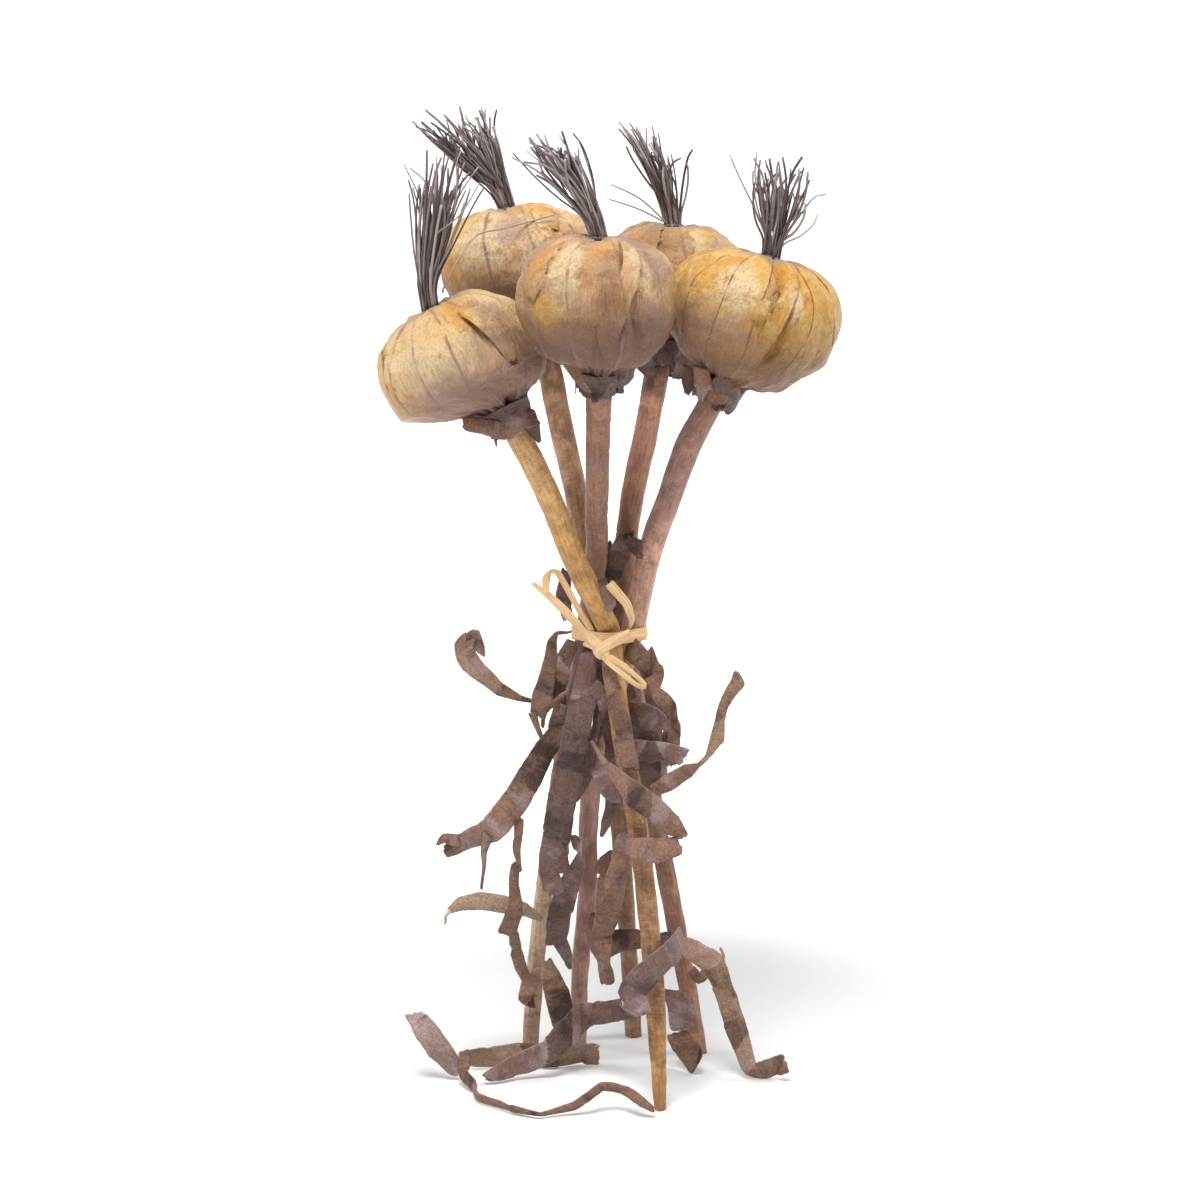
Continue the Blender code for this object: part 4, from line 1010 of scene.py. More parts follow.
def fold_at(folds, run, reach):
    """Height of a crushed leaf from crease to crease, with the tilt and painted shade of its flat stretch."""
    before = folds[0]
    for after in folds[1:]:
        end = after[0] + after[2] * reach
        if run < end:
            start = before[0] + before[2] * reach
            share = max(0.0, min(1.0, (run - start) / max(0.001, end - start)))
            turned = soft_step(0.0, FOLD_TURN, run - start)
            return blend(before[1], after[1], share), blend(before[3], after[3], turned), after[4]
        before = after
    return before[1], before[3], before[4]


def leaf_form(form, route, widths, seed, rolls=None, crush=1.0, camber=1.0, ragged=1.0):
    """Add one torn, creased ribbon along a route to a bmesh."""
    draw = random.Random(seed)
    phase = draw.uniform(0, math.tau)
    places = places_along(route, LEAF_STEP)
    frames = strip_frames(route, places, LEAF_SHARPNESS)
    length = frames[-1][4]
    folds = crush_folds(draw, length + 0.02)
    cuts = (draw.uniform(-0.6, 0.6), draw.uniform(-0.6, 0.6))
    columns = max(4, round(LEAF_COLUMNS * min(1.0, max(widths) / 0.009)))
    way = form.verts.layers.float_vector["way"]
    edge, facet_shade = form.verts.layers.float["edge"], form.verts.layers.float["facet_shade"]
    made = bmesh.ops.create_grid(form, x_segments=len(places) - 1, y_segments=columns, size=0.5)
    for vertex in made["verts"]:
        station = round((vertex.co.x + 0.5) * (len(places) - 1))
        y = vertex.co.y
        centre, along, side, normal, run = frames[station]
        spot = Vector((run * 130, (2.0 if y > 0 else -2.0), seed))
        rag = 0.06 * noise.noise(spot) + 0.04 * noise.noise(spot * 3.7) + 0.02 * noise.noise(spot * 11.3)
        width = value_at(widths, places[station]) * (1 + rag * ragged)
        to_end = min(run, length - run)
        reach = y * width * (1 - 0.14 * max(0.0, 1 - to_end / END_TAPER) ** 2)
        roll = math.radians(value_at(rolls, places[station])) if rolls else 0.0
        height, tilt, tone = fold_at(folds, run, reach)
        roll += crush * tilt
        lift = LEAF_WAVE * crush * math.sin(run / LEAF_WAVE_PITCH * math.tau + phase)
        curl = camber * (0.6 + 0.9 * noise.noise(Vector((run * 60, seed * 2.3, 5.0))))
        lift += LEAF_CAMBER * curl * (1 - (2 * y) ** 2)
        lift += FOLD_DEPTH * crush * height
        lift += CROSS_CRINKLE * crush * noise.noise(Vector((reach * 220, run * 900, seed)))
        lift += FINE_CRINKLE * crush * noise.noise(Vector((reach * 330, run * 260, seed + 3)))
        lift += PUCKER_DEPTH * crush * noise.noise(Vector((reach * 140, run * 120, seed + 9)))
        turned_side = side * math.cos(roll) + normal * math.sin(roll)
        turned_normal = normal * math.cos(roll) - side * math.sin(roll)
        cut = cuts[1] if run > length / 2 else cuts[0]
        jag = END_JAG * noise.noise(Vector((y * 4.2, seed * 3.1, run > length / 2)))
        pull = (cut * reach + jag * ragged) * max(0.0, 1 - to_end / END_REACH)
        vertex.co = centre + turned_side * reach + turned_normal * lift + along * pull
        vertex.co.z = max(vertex.co.z, FLOOR_GAP)
        vertex[way] = (reach, lift, run + seed * 0.37)
        vertex[edge] = (0.5 - abs(y)) * width * 1000
        # Painted light and shade: each flat stretch between creases lighter or darker, as if it caught the
        # light.
        vertex[facet_shade] = blend(0.5, tone, min(1.0, crush))
    return form


def new_strip_form():
    """An empty bmesh whose points carry their way, distance from the edge and the painted shade of their
    stretch.
    """
    form = bmesh.new()
    form.verts.layers.float_vector.new("way")
    form.verts.layers.float.new("edge")
    form.verts.layers.float.new("facet_shade")
    return form


def make_leaf_finish(name, dark, ground, warm, bloom_and_sheen):
    """Dead leaf: soft bands of brown, warm brown and a silver tone partly painted as sheen, painted light and
    shade by creases, fine cross lines, grain.
    """
    finish, tree, shader = new_finish(name, 0.44, 0.34)
    way = read_way(tree)
    facet_shade = read_value(tree, "facet_shade")
    banded = add_node(tree, "Mapping", {"Vector": way, "Scale": (0.38, 0.38, 1.0)})
    bands = grain_of(tree, banded.outputs[0], 900.0, 12.0, 56.0)
    fibres = grain_of(tree, way, 1300.0, 2.5, 160.0)
    fine = grain_of(tree, way, 260.0, 0.10, 400.0)
    place = calculate(tree, "MULTIPLY_ADD", facet_shade, 0.10, calculate(tree, "MULTIPLY", bands["Blotches"], 0.72))
    place = calculate(tree, "MULTIPLY_ADD", fibres["Blotches"], 0.22, place)
    # The top tone is the silver bloom, partly a painted sheen.
    colour = tone_band(tree, place, ((0.41, dark), (0.465, ground), (0.505, warm), (0.545, ground),
                                     (0.66, bloom_and_sheen)))
    # Painted light and shade: each flat stretch lighter or darker, with grain and streaks over it.
    light = calculate(tree, "MULTIPLY_ADD", facet_shade, 0.50, 0.30)
    patterns = ((fibres["Grain"], 0.66, 0.50), (fine["Streaks"], 0.64, 0.14), (bands["Streaks"], 0.66, 0.20))
    for pattern, high, amount in patterns:
        light = calculate(tree, "MULTIPLY_ADD", soft_mask(tree, pattern, 0.34, high), amount, light)
    colour = shade(tree, colour, light)
    rim = soft_mask(tree, read_value(tree, "edge"), 0.45, 0.0)
    colour = glaze(tree, colour, bloom_and_sheen, rim, 0.30)
    tree.links.new(colour, shader.inputs["Base Color"])
    relief = calculate(tree, "MULTIPLY_ADD", fine["Streaks"], 0.9, fibres["Grain"])
    relief = calculate(tree, "MULTIPLY_ADD", fibres["Blotches"], 1.6, relief)
    raise_bumps(tree, shader, relief, 0.00050, 0.9)
    return finish


LEAF_DARK = (0.080, 0.043, 0.035)
LEAF_BROWN = (0.192, 0.104, 0.074)
LEAF_GOLDEN = (0.255, 0.140, 0.083)
LEAF_MAUVE = (0.190, 0.112, 0.103)
LEAF_SILVER_SHEEN = (0.37, 0.270, 0.280)
LEAF_TAN = (0.360, 0.235, 0.150)
LEAF_FINISHES = {
    "leaf_brown": make_leaf_finish("leaf_brown", LEAF_DARK, LEAF_BROWN, LEAF_GOLDEN, (0.29, 0.205, 0.185)),
    "leaf_mauve": make_leaf_finish("leaf_mauve", (0.090, 0.050, 0.048), LEAF_MAUVE, LEAF_BROWN, LEAF_SILVER_SHEEN),
    "leaf_tan": make_leaf_finish("leaf_tan", LEAF_BROWN, (0.31, 0.190, 0.130), LEAF_TAN,
                                 (0.38, 0.250, 0.210)),
    "leaf_gold": make_leaf_finish("leaf_gold", LEAF_DARK, LEAF_BROWN, (0.36, 0.21, 0.085), LEAF_TAN),
    "leaf_pink": make_leaf_finish("leaf_pink", LEAF_MAUVE, (0.36, 0.245, 0.22), (0.34, 0.225, 0.18),
                                  (0.44, 0.345, 0.34)),
    "leaf_pale": make_leaf_finish("leaf_pale", LEAF_TAN, (0.46, 0.315, 0.230), (0.48, 0.330, 0.225),
                                  (0.51, 0.390, 0.315)),
    "husk": make_leaf_finish("husk", (0.060, 0.034, 0.030), (0.115, 0.066, 0.056), (0.15, 0.08, 0.055),
                             (0.23, 0.17, 0.17)),
    "husk_red": make_leaf_finish("husk_red", (0.090, 0.042, 0.034), (0.200, 0.105, 0.080),
                                 (0.27, 0.130, 0.06), (0.30, 0.20, 0.17)),
    "husk_pale": make_leaf_finish("husk_pale", (0.15, 0.085, 0.075), (0.26, 0.17, 0.145), (0.27, 0.16, 0.11),
                                  (0.44, 0.36, 0.35)),
}

# name, finish, route, width at each point of the route, roll in degrees at each point
LEAVES = (
    ("main", "leaf_mauve",
     ((-0.0085, -0.0080, 0.180), (-0.0100, -0.0125, 0.162), (-0.0145, -0.0150, 0.141),
      (-0.0190, -0.0170, 0.121), (-0.0215, -0.0180, 0.104), (-0.0240, -0.0170, 0.092),
      (-0.0220, -0.0150, 0.081)),
     (0.006, 0.011, 0.012, 0.012, 0.012, 0.010, 0.007), (0, -10, 8, -6, 6, 45, 10)),
    ("far_left", "leaf_tan",
     ((-0.0290, -0.0020, 0.1580), (-0.0360, -0.0060, 0.1605), (-0.0440, -0.0120, 0.1655),
      (-0.0510, -0.0170, 0.1725), (-0.0570, -0.0205, 0.1800), (-0.0580, -0.0210, 0.1850),
      (-0.0560, -0.0190, 0.1895)),
     (0.0010, 0.0025, 0.0055, 0.0075, 0.0090, 0.0085, 0.0050), None),
    ("lance", "leaf_brown",
     ((-0.0290, -0.0115, 0.1545), (-0.0270, -0.0130, 0.1625), (-0.0250, -0.0140, 0.1700),
      (-0.0235, -0.0140, 0.1780), (-0.0230, -0.0130, 0.1850), (-0.0210, -0.0130, 0.1890),
      (-0.0155, -0.0110, 0.1890)),
     (0.0060, 0.0080, 0.0070, 0.0055, 0.0040, 0.0015, 0.0010), None),
    ("folded", "leaf_brown",
     ((-0.0145, -0.0040, 0.1830), (-0.0185, -0.0075, 0.1750), (-0.0205, -0.0085, 0.1650),
      (-0.0200, -0.0065, 0.1550)),
     (0.0055, 0.0070, 0.0070, 0.0050), (0, -20, 25, 0)),
    ("forked", "leaf_brown",
     ((-0.0195, -0.0070, 0.1490), (-0.0250, -0.0110, 0.1410), (-0.0325, -0.0180, 0.1300),
      (-0.0395, -0.0230, 0.1190), (-0.0470, -0.0260, 0.1110), (-0.0560, -0.0270, 0.1070),
      (-0.0660, -0.0280, 0.1020)),
     (0.0065, 0.0095, 0.0110, 0.0115, 0.0110, 0.0095, 0.0050), (0, 12, -14, 10, -10, 6, 0)),
    ("branch", "leaf_brown",
     ((-0.0360, -0.0200, 0.1145), (-0.0370, -0.0205, 0.1060), (-0.0375, -0.0215, 0.0960),
      (-0.0385, -0.0215, 0.0860), (-0.0390, -0.0210, 0.0760), (-0.0410, -0.0195, 0.0640)),
     (0.0040, 0.0035, 0.0035, 0.0050, 0.0075, 0.0080), (0, 30, -20, 10, 0, 0)),
    ("hook", "leaf_brown",
     ((-0.0390, -0.0160, 0.0660), (-0.0380, -0.0120, 0.0560), (-0.0365, -0.0060, 0.0475),
      (-0.0345, -0.0010, 0.0410), (-0.0305, 0.0040, 0.0365)),
     (0.0040, 0.0050, 0.0050, 0.0045, 0.0030), None),
    ("tan_left", "leaf_pale",
     ((-0.0665, 0.0030, 0.0685), (-0.0610, 0.0035, 0.0715), (-0.0530, 0.0040, 0.0725),
      (-0.0440, 0.0030, 0.0715), (-0.0355, 0.0040, 0.0690), (-0.0280, 0.0080, 0.0635)),
     (0.0025, 0.0060, 0.0075, 0.0075, 0.0060, 0.0025), None),
    ("wave_right", "leaf_tan",
     ((0.0170, -0.0110, 0.1230), (0.0250, -0.0130, 0.1275), (0.0315, -0.0150, 0.1320),
      (0.0365, -0.0165, 0.1355), (0.0400, -0.0175, 0.1400), (0.0435, -0.0190, 0.1465),
      (0.0445, -0.0200, 0.1540), (0.0460, -0.0205, 0.1605), (0.0490, -0.0210, 0.1665),
      (0.0515, -0.0215, 0.1700), (0.0510, -0.0220, 0.1750)),
     (0.0050, 0.0070, 0.0060, 0.0020, 0.0025, 0.0060, 0.0040, 0.0040, 0.0050, 0.0060, 0.0015), None),
    ("square", "leaf_mauve",
     ((0.0095, -0.0110, 0.1410), (0.0165, -0.0160, 0.1405), (0.0240, -0.0185, 0.1410),
      (0.0310, -0.0195, 0.1395)),
     (0.0080, 0.0095, 0.0085, 0.0080), None),
    ("scrunched", "leaf_brown",
     ((0.0150, -0.0060, 0.179), (0.0180, -0.0080, 0.173), (0.0190, -0.0100, 0.165),
      (0.0235, -0.0120, 0.158), (0.0250, -0.0110, 0.149), (0.0240, -0.0080, 0.142)),
     (0.008, 0.009, 0.006, 0.008, 0.007, 0.006), (10, -25, 30, -20, 10, 0)),
    ("purple_tip", "leaf_mauve",
     ((0.0075, -0.0100, 0.1560), (0.0130, -0.0145, 0.1560), (0.0175, -0.0175, 0.1550),
      (0.0200, -0.0180, 0.1540), (0.0220, -0.0170, 0.1525)),
     (0.0080, 0.0105, 0.0110, 0.0090, 0.0040), (0, 0, -20, -40, -50)),
    ("stalk_strip", "leaf_brown",
     ((-0.0005, -0.0175, 0.1780), (0.0010, -0.0200, 0.1690), (0.0035, -0.0225, 0.1590),
      (0.0060, -0.0250, 0.1480), (0.0085, -0.0280, 0.1360)),
     (0.0050, 0.0065, 0.0075, 0.0080, 0.0070), (-10, 0, -10, 0, -10)),
    ("diagonal", "leaf_brown",
     ((-0.0075, -0.0140, 0.1440), (-0.0045, -0.0230, 0.1420), (0.0005, -0.0300, 0.1370),
      (0.0060, -0.0350, 0.1320), (0.0115, -0.0370, 0.1270), (0.0180, -0.0375, 0.1210),
      (0.0245, -0.0365, 0.1155), (0.0300, -0.0345, 0.1110)),
     (0.0015, 0.0015, 0.0040, 0.0075, 0.0105, 0.0110, 0.0100, 0.0040), (30, 20, 10, 6, 0, -10, -10, -10)),
    ("fold_band", "leaf_brown",
     ((0.0070, -0.0335, 0.1060), (0.0125, -0.0380, 0.1055), (0.0185, -0.0395, 0.1055),
      (0.0235, -0.0385, 0.1065), (0.0285, -0.0365, 0.1070)),
     (0.0060, 0.0095, 0.0105, 0.0090, 0.0075), (0, 0, 6, 0, 0)),
    ("crumple", "leaf_mauve",
     ((-0.0045, -0.0080, 0.133), (-0.0010, -0.0100, 0.125), (0.0025, -0.0080, 0.117)),
     (0.007, 0.008, 0.005), None),
    ("middle", "leaf_brown",
     ((0.0080, -0.0120, 0.1150), (0.0060, -0.0140, 0.1040), (0.0040, -0.0165, 0.0940),
      (0.0025, -0.0170, 0.0840), (-0.0005, -0.0165, 0.0720), (-0.0035, -0.0150, 0.0600),
      (-0.0020, -0.0145, 0.0520), (-0.0005, -0.0140, 0.0420)),
     (0.0040, 0.0060, 0.0085, 0.0100, 0.0100, 0.0090, 0.0070, 0.0060), (0, 20, -10, 15, -12, 20, -25, 0)),
    ("left_middle", "leaf_mauve",
     ((-0.0145, -0.0040, 0.1035), (-0.0120, 0.0000, 0.0950), (-0.0145, -0.0010, 0.0860),
      (-0.0180, -0.0030, 0.0770), (-0.0210, -0.0030, 0.0660), (-0.0220, -0.0010, 0.0560)),
     (0.0035, 0.0055, 0.0075, 0.0100, 0.0110, 0.0090), (0, 40, 10, -10, 8, 0)),
    ("short", "leaf_brown",
     ((-0.0030, 0.0130, 0.082), (0.0000, 0.0120, 0.087), (0.0030, 0.0120, 0.092)),
     (0.007, 0.008, 0.005), None),
    ("back_band", "leaf_brown",
     ((-0.0030, 0.0240, 0.045), (0.0040, 0.0220, 0.050), (0.0140, 0.0180, 0.052)),
     (0.008, 0.010, 0.008), None),
    ("front_fold", "leaf_mauve",
     ((0.0290, -0.0180, 0.064), (0.0250, -0.0380, 0.063), (0.0150, -0.0500, 0.058),
      (0.0090, -0.0530, 0.051), (0.0140, -0.0530, 0.043)),
     (0.007, 0.010, 0.011, 0.011, 0.005), None),
    ("far_right", "leaf_tan",
     ((0.0245, 0.0000, 0.0580), (0.0345, 0.0020, 0.0520), (0.0430, 0.0010, 0.0470),
      (0.0480, -0.0015, 0.0360), (0.0530, -0.0060, 0.0200), (0.0590, -0.0100, 0.0050),
      (0.0645, -0.0115, 0.0045), (0.0735, -0.0125, 0.0085)),
     (0.0050, 0.0090, 0.0100, 0.0090, 0.0090, 0.0070, 0.0085, 0.0090), (0, 0, 10, -8, 6, -6, 10, 0)),
    ("curl", "leaf_brown",
     ((0.0350, 0.0120, 0.041), (0.0380, 0.0110, 0.037), (0.0420, 0.0130, 0.040)),
     (0.005, 0.005, 0.004), None),
    ("foot_fold", "leaf_mauve",
     ((0.0260, 0.0060, 0.034), (0.0300, 0.0030, 0.026), (0.0310, 0.0050, 0.017)),
     (0.008, 0.012, 0.010), None),
    ("square_end", "leaf_brown",
     ((0.0290, 0.0080, 0.014), (0.0330, 0.0020, 0.0085), (0.0370, -0.0050, 0.0042)),
     (0.009, 0.011, 0.011), None),
    ("gold_fold", "leaf_gold",
     ((-0.0260, 0.0045, 0.0470), (-0.0240, 0.0045, 0.0400), (-0.0220, 0.0045, 0.0330),
      (-0.0200, 0.0060, 0.0250), (-0.0180, 0.0080, 0.0165)),
     (0.0050, 0.0085, 0.0105, 0.0105, 0.0100), (0, 14, -10, 8, 0)),
    ("low_long", "leaf_mauve",
     ((0.0140, -0.0280, 0.038), (0.0080, -0.0200, 0.034), (-0.0010, -0.0100, 0.029),
      (-0.0090, -0.0050, 0.027), (-0.0165, -0.0050, 0.019), (-0.0250, -0.0080, 0.012),
      (-0.0350, -0.0120, 0.0075), (-0.0450, -0.0150, 0.0050), (-0.0510, -0.0160, 0.0030)),
     (0.008, 0.009, 0.009, 0.011, 0.011, 0.010, 0.010, 0.007, 0.004), None),
    ("floor", "leaf_tan",
     ((-0.0590, 0.0010, 0.0052), (-0.0530, 0.0040, 0.0056), (-0.0430, 0.0050, 0.0056),
      (-0.0290, 0.0040, 0.0056), (-0.0140, 0.0060, 0.0056), (-0.0040, 0.0050, 0.0054)),
     (0.009, 0.010, 0.010, 0.010, 0.010, 0.009), None),
    ("pink_left", "leaf_pink",
     ((-0.0810, -0.0080, 0.028), (-0.0755, -0.0100, 0.021), (-0.0695, -0.0120, 0.013),
      (-0.0640, -0.0120, 0.0060), (-0.0610, -0.0110, 0.0035)),
     (0.007, 0.010, 0.010, 0.008, 0.005), None),
    ("front_arc", "leaf_brown",
     ((-0.0600, -0.0110, 0.0125), (-0.0590, -0.0190, 0.0055), (-0.0540, -0.0350, 0.0030),
      (-0.0440, -0.0480, 0.0025), (-0.0275, -0.0570, 0.0020), (-0.0140, -0.0530, 0.0040),
      (-0.0030, -0.0480, 0.0105), (0.0070, -0.0510, 0.0095), (0.0130, -0.0540, 0.0060),
      (0.0180, -0.0550, 0.0030)),
     (0.0050, 0.0050, 0.0040, 0.0035, 0.0015, 0.0035, 0.0035, 0.0040, 0.0040, 0.0020), None),
    ("back_middle", "leaf_brown",
     ((0.0060, 0.0175, 0.176), (0.0040, 0.0250, 0.155), (0.0080, 0.0310, 0.130),
      (0.0045, 0.0360, 0.105), (0.0050, 0.0400, 0.088)),
     (0.006, 0.010, 0.011, 0.010, 0.005), None),
    ("back_left", "leaf_mauve",
     ((-0.0130, 0.0110, 0.172), (-0.0150, 0.0180, 0.152), (-0.0185, 0.0230, 0.130),
      (-0.0165, 0.0250, 0.108)),
     (0.006, 0.010, 0.011, 0.005), None),
    ("back_right", "leaf_brown",
     ((0.0130, 0.0200, 0.168), (0.0170, 0.0260, 0.146), (0.0200, 0.0290, 0.122),
      (0.0170, 0.0330, 0.102)),
     (0.006, 0.010, 0.010, 0.005), None),
    ("back_low", "leaf_tan",
     ((0.0020, 0.0400, 0.078), (-0.0040, 0.0450, 0.062), (0.0000, 0.0480, 0.046)),
     (0.006, 0.010, 0.007), None),
    ("sheath", "leaf_mauve",
     ((0.0070, -0.0010, 0.228), (0.0040, -0.0010, 0.218), (0.0010, -0.0005, 0.207)),
     (0.006, 0.009, 0.006), None),
    ("left_peel", "leaf_mauve",
     ((-0.0170, -0.0050, 0.213), (-0.0185, -0.0050, 0.203), (-0.0165, -0.0050, 0.193)),
     (0.004, 0.006, 0.005), None),
    ("right_peel", "leaf_brown",
     ((-0.0030, -0.0200, 0.212), (-0.0008, -0.0205, 0.206), (0.0015, -0.0195, 0.200)),
     (0.004, 0.005, 0.004), None),
)
# Torn links and shreds that belong to a leaf: route and widths of each
SHREDS = {
    "far_left": (
        (((-0.0575, -0.0205, 0.1890), (-0.0540, -0.0190, 0.1895), (-0.0520, -0.0170, 0.1845),
          (-0.0500, -0.0150, 0.1800)), (0.0030, 0.0065, 0.0050, 0.0010)),),
    "main": (
        (((-0.0060, -0.0130, 0.1680), (-0.0020, -0.0145, 0.1625), (-0.0030, -0.0150, 0.1570)),
         (0.0060, 0.0075, 0.0020)),
        (((-0.0010, -0.0130, 0.1590), (-0.0050, -0.0120, 0.1500), (-0.0060, -0.0130, 0.1430),
          (-0.0035, -0.0190, 0.1375)), (0.0020, 0.0025, 0.0020, 0.0015)),
        (((-0.0110, -0.0040, 0.1500), (-0.0085, -0.0030, 0.1380), (-0.0110, -0.0020, 0.1260),
          (-0.0140, -0.0010, 0.1170)), (0.0070, 0.0090, 0.0080, 0.0030)),
        (((-0.0030, -0.0030, 0.1790), (-0.0040, -0.0040, 0.1660), (-0.0020, -0.0040, 0.1540),
          (-0.0050, -0.0030, 0.1440)), (0.0060, 0.0100, 0.0090, 0.0040))),
    "folded": (
        (((-0.0190, -0.0080, 0.1590), (-0.0205, -0.0075, 0.1540), (-0.0225, -0.0065, 0.1460)),
         (0.0050, 0.0060, 0.0060)),
        (((-0.0165, -0.0030, 0.1830), (-0.0215, -0.0050, 0.1740), (-0.0235, -0.0050, 0.1640),
          (-0.0225, -0.0040, 0.1560)), (0.0025, 0.0040, 0.0040, 0.0020))),
    "lance": (
        (((-0.0160, -0.0140, 0.1655), (-0.0215, -0.0130, 0.1615), (-0.0260, -0.0120, 0.1560),
          (-0.0270, -0.0110, 0.1495)), (0.0010, 0.0020, 0.0020, 0.0015)),
        (((-0.0310, -0.0130, 0.1565), (-0.0285, -0.0120, 0.1485), (-0.0260, -0.0090, 0.1420)),
         (0.0035, 0.0020, 0.0015))),
    "forked": (
        (((-0.0485, -0.0270, 0.1090), (-0.0505, -0.0275, 0.1020), (-0.0505, -0.0280, 0.0955),
          (-0.0515, -0.0280, 0.0865)), (0.0050, 0.0025, 0.0015, 0.0010)),
        (((-0.0195, -0.0050, 0.1460), (-0.0265, -0.0080, 0.1400), (-0.0300, -0.0100, 0.1310)),
         (0.0070, 0.0075, 0.0020)),
        (((-0.0600, -0.0275, 0.1065), (-0.0660, -0.0280, 0.1075), (-0.0690, -0.0280, 0.1050)),
         (0.0050, 0.0040, 0.0010))),
    "tan_left": (
        (((-0.0650, 0.0030, 0.0690), (-0.0675, 0.0030, 0.0660), (-0.0680, 0.0030, 0.0630)),
         (0.0020, 0.0010, 0.0005)),),
    "scrunched": (
        (((0.0075, -0.0090, 0.1830), (0.0125, -0.0100, 0.1780), (0.0160, -0.0090, 0.1710)),
         (0.0090, 0.0085, 0.0030)),
        (((0.0215, -0.0100, 0.1590), (0.0260, -0.0110, 0.1500), (0.0260, -0.0100, 0.1400),
          (0.0250, -0.0090, 0.1330)), (0.0055, 0.0065, 0.0055, 0.0040))),
    "square": (
        (((0.0160, -0.0090, 0.1500), (0.0170, -0.0110, 0.1400), (0.0170, -0.0110, 0.1300),
          (0.0165, -0.0090, 0.1220)), (0.0070, 0.0095, 0.0095, 0.0050)),
        (((0.0100, -0.0060, 0.1600), (0.0125, -0.0070, 0.1480), (0.0120, -0.0060, 0.1350)),
         (0.0060, 0.0080, 0.0040))),
    "crumple": (
        (((0.0010, -0.0070, 0.1230), (0.0010, -0.0060, 0.1150), (-0.0010, -0.0040, 0.1080),
          (-0.0030, -0.0030, 0.1020)), (0.0060, 0.0050, 0.0040, 0.0015)),
        (((-0.0030, -0.0020, 0.1560), (0.0020, -0.0040, 0.1450), (0.0030, -0.0050, 0.1330),
          (0.0050, -0.0060, 0.1220)), (0.0070, 0.0095, 0.0090, 0.0040))),
    "middle": (
        (((-0.0045, -0.0020, 0.0700), (-0.0070, 0.0020, 0.0610), (-0.0055, 0.0050, 0.0500)),
         (0.0050, 0.0055, 0.0035)),),
    "left_middle": (
        (((-0.0210, 0.0000, 0.0580), (-0.0190, 0.0020, 0.0530), (-0.0170, 0.0040, 0.0480),
          (-0.0160, 0.0050, 0.0430)), (0.0065, 0.0055, 0.0040, 0.0015)),
        (((-0.0190, -0.0010, 0.1040), (-0.0200, -0.0010, 0.0940), (-0.0180, -0.0010, 0.0860)),
         (0.0060, 0.0070, 0.0050))),
    "front_fold": (
        (((0.0235, -0.0120, 0.0640), (0.0230, -0.0100, 0.0570), (0.0245, -0.0060, 0.0500)),
         (0.0055, 0.0050, 0.0030)),),
    "far_right": (
        (((0.0460, -0.0040, 0.0470), (0.0475, -0.0050, 0.0520), (0.0460, -0.0050, 0.0555)),
         (0.0020, 0.0010, 0.0010)),),
    "gold_fold": (
        (((-0.0275, 0.0055, 0.0420), (-0.0330, 0.0090, 0.0360), (-0.0345, 0.0105, 0.0290),
          (-0.0320, 0.0115, 0.0245)), (0.0060, 0.0070, 0.0070, 0.0030)),),
    "low_long": (
        (((-0.0130, -0.0090, 0.0330), (-0.0130, -0.0090, 0.0220), (-0.0135, -0.0085, 0.0120)),
         (0.0035, 0.0040, 0.0025)),),
    "sheath": (
        (((0.0060, -0.0030, 0.2260), (0.0110, -0.0040, 0.2230), (0.0140, -0.0050, 0.2180)),
         (0.0020, 0.0070, 0.0030)),
        (((-0.0020, 0.0030, 0.2230), (0.0000, 0.0020, 0.2130), (-0.0020, 0.0020, 0.2040)),
         (0.0060, 0.0080, 0.0060))),
}


for number, (name, finish, route, widths, rolls) in enumerate(LEAVES, start=1):
    form = leaf_form(new_strip_form(), route, widths, seed=40 + number, rolls=rolls)
    for place, (shred_route, shred_widths) in enumerate(SHREDS.get(name, ()), start=1):
        leaf_form(form, shred_route, shred_widths, seed=200 + number * 7 + place)
    node = "leaf_" + name
    piece = finish_piece("dead_" + node, form, [LEAF_FINISHES[finish]], [node])
    thicken(piece, LEAF_THICKNESS)

# Husk flaps. Where the skins of a head gather round the stalk, their dead outer layers
# have torn into short stiff flaps: dark brown mauve with a pale bloom, partly a painted
# sheen, and patchy painted shade. They are part of the skins and stay fixed to the neck
# by their upper edge.
HUSK_THICKNESS = 0.0003
HUSK_GAP = 0.0006
HUSK_STAND_OFF = 0.0004
HUSK_WAVE = 0.0006
HUSK_TEAR = 0.0022
HUSK_FINE_TEAR = 0.0008
HUSK_CORNER = 0.0016
# Collars, each as: angle, half angle, place on the skin, length past the hem, flare, finish
HUSKS = {
    1: ((-84, 74, 0.85, 0.0022, 0.0006, "husk_pale"), (-178, 40, 0.88, 0.0010, 0.0012, "husk"),
        (12, 42, 0.88, 0.0024, 0.0016, "husk_pale"), (96, 60, 0.86, 0.0015, 0.0012, "husk")),
    2: ((-84, 64, 0.86, 0.0012, 0.0006, "husk"), (20, 60, 0.86, 0.0020, 0.0016, "husk"),
        (120, 60, 0.86, 0.0015, 0.0012, "husk_pale")),
    3: ((-100, 60, 0.84, 0.0004, 0.0006, "husk"), (0, 44, 0.88, 0.0004, 0.0012, "husk"),
        (80, 60, 0.86, 0.0015, 0.0012, "husk"), (160, 40, 0.86, 0.0008, 0.0012, "husk_pale")),
    4: ((-95, 64, 0.84, 0.0004, 0.0006, "husk"), (-14, 46, 0.86, 0.0010, 0.0020, "husk"),
        (80, 60, 0.86, 0.0015, 0.0012, "husk"), (160, 40, 0.86, 0.0010, 0.0012, "husk_pale")),
    5: ((-104, 56, 0.83, 0.0010, 0.0004, "husk_red"), (-30, 40, 0.86, 0.0006, 0.0012, "husk"),
        (50, 60, 0.86, 0.0015, 0.0012, "husk"), (140, 50, 0.86, 0.0015, 0.0012, "husk_pale")),
}
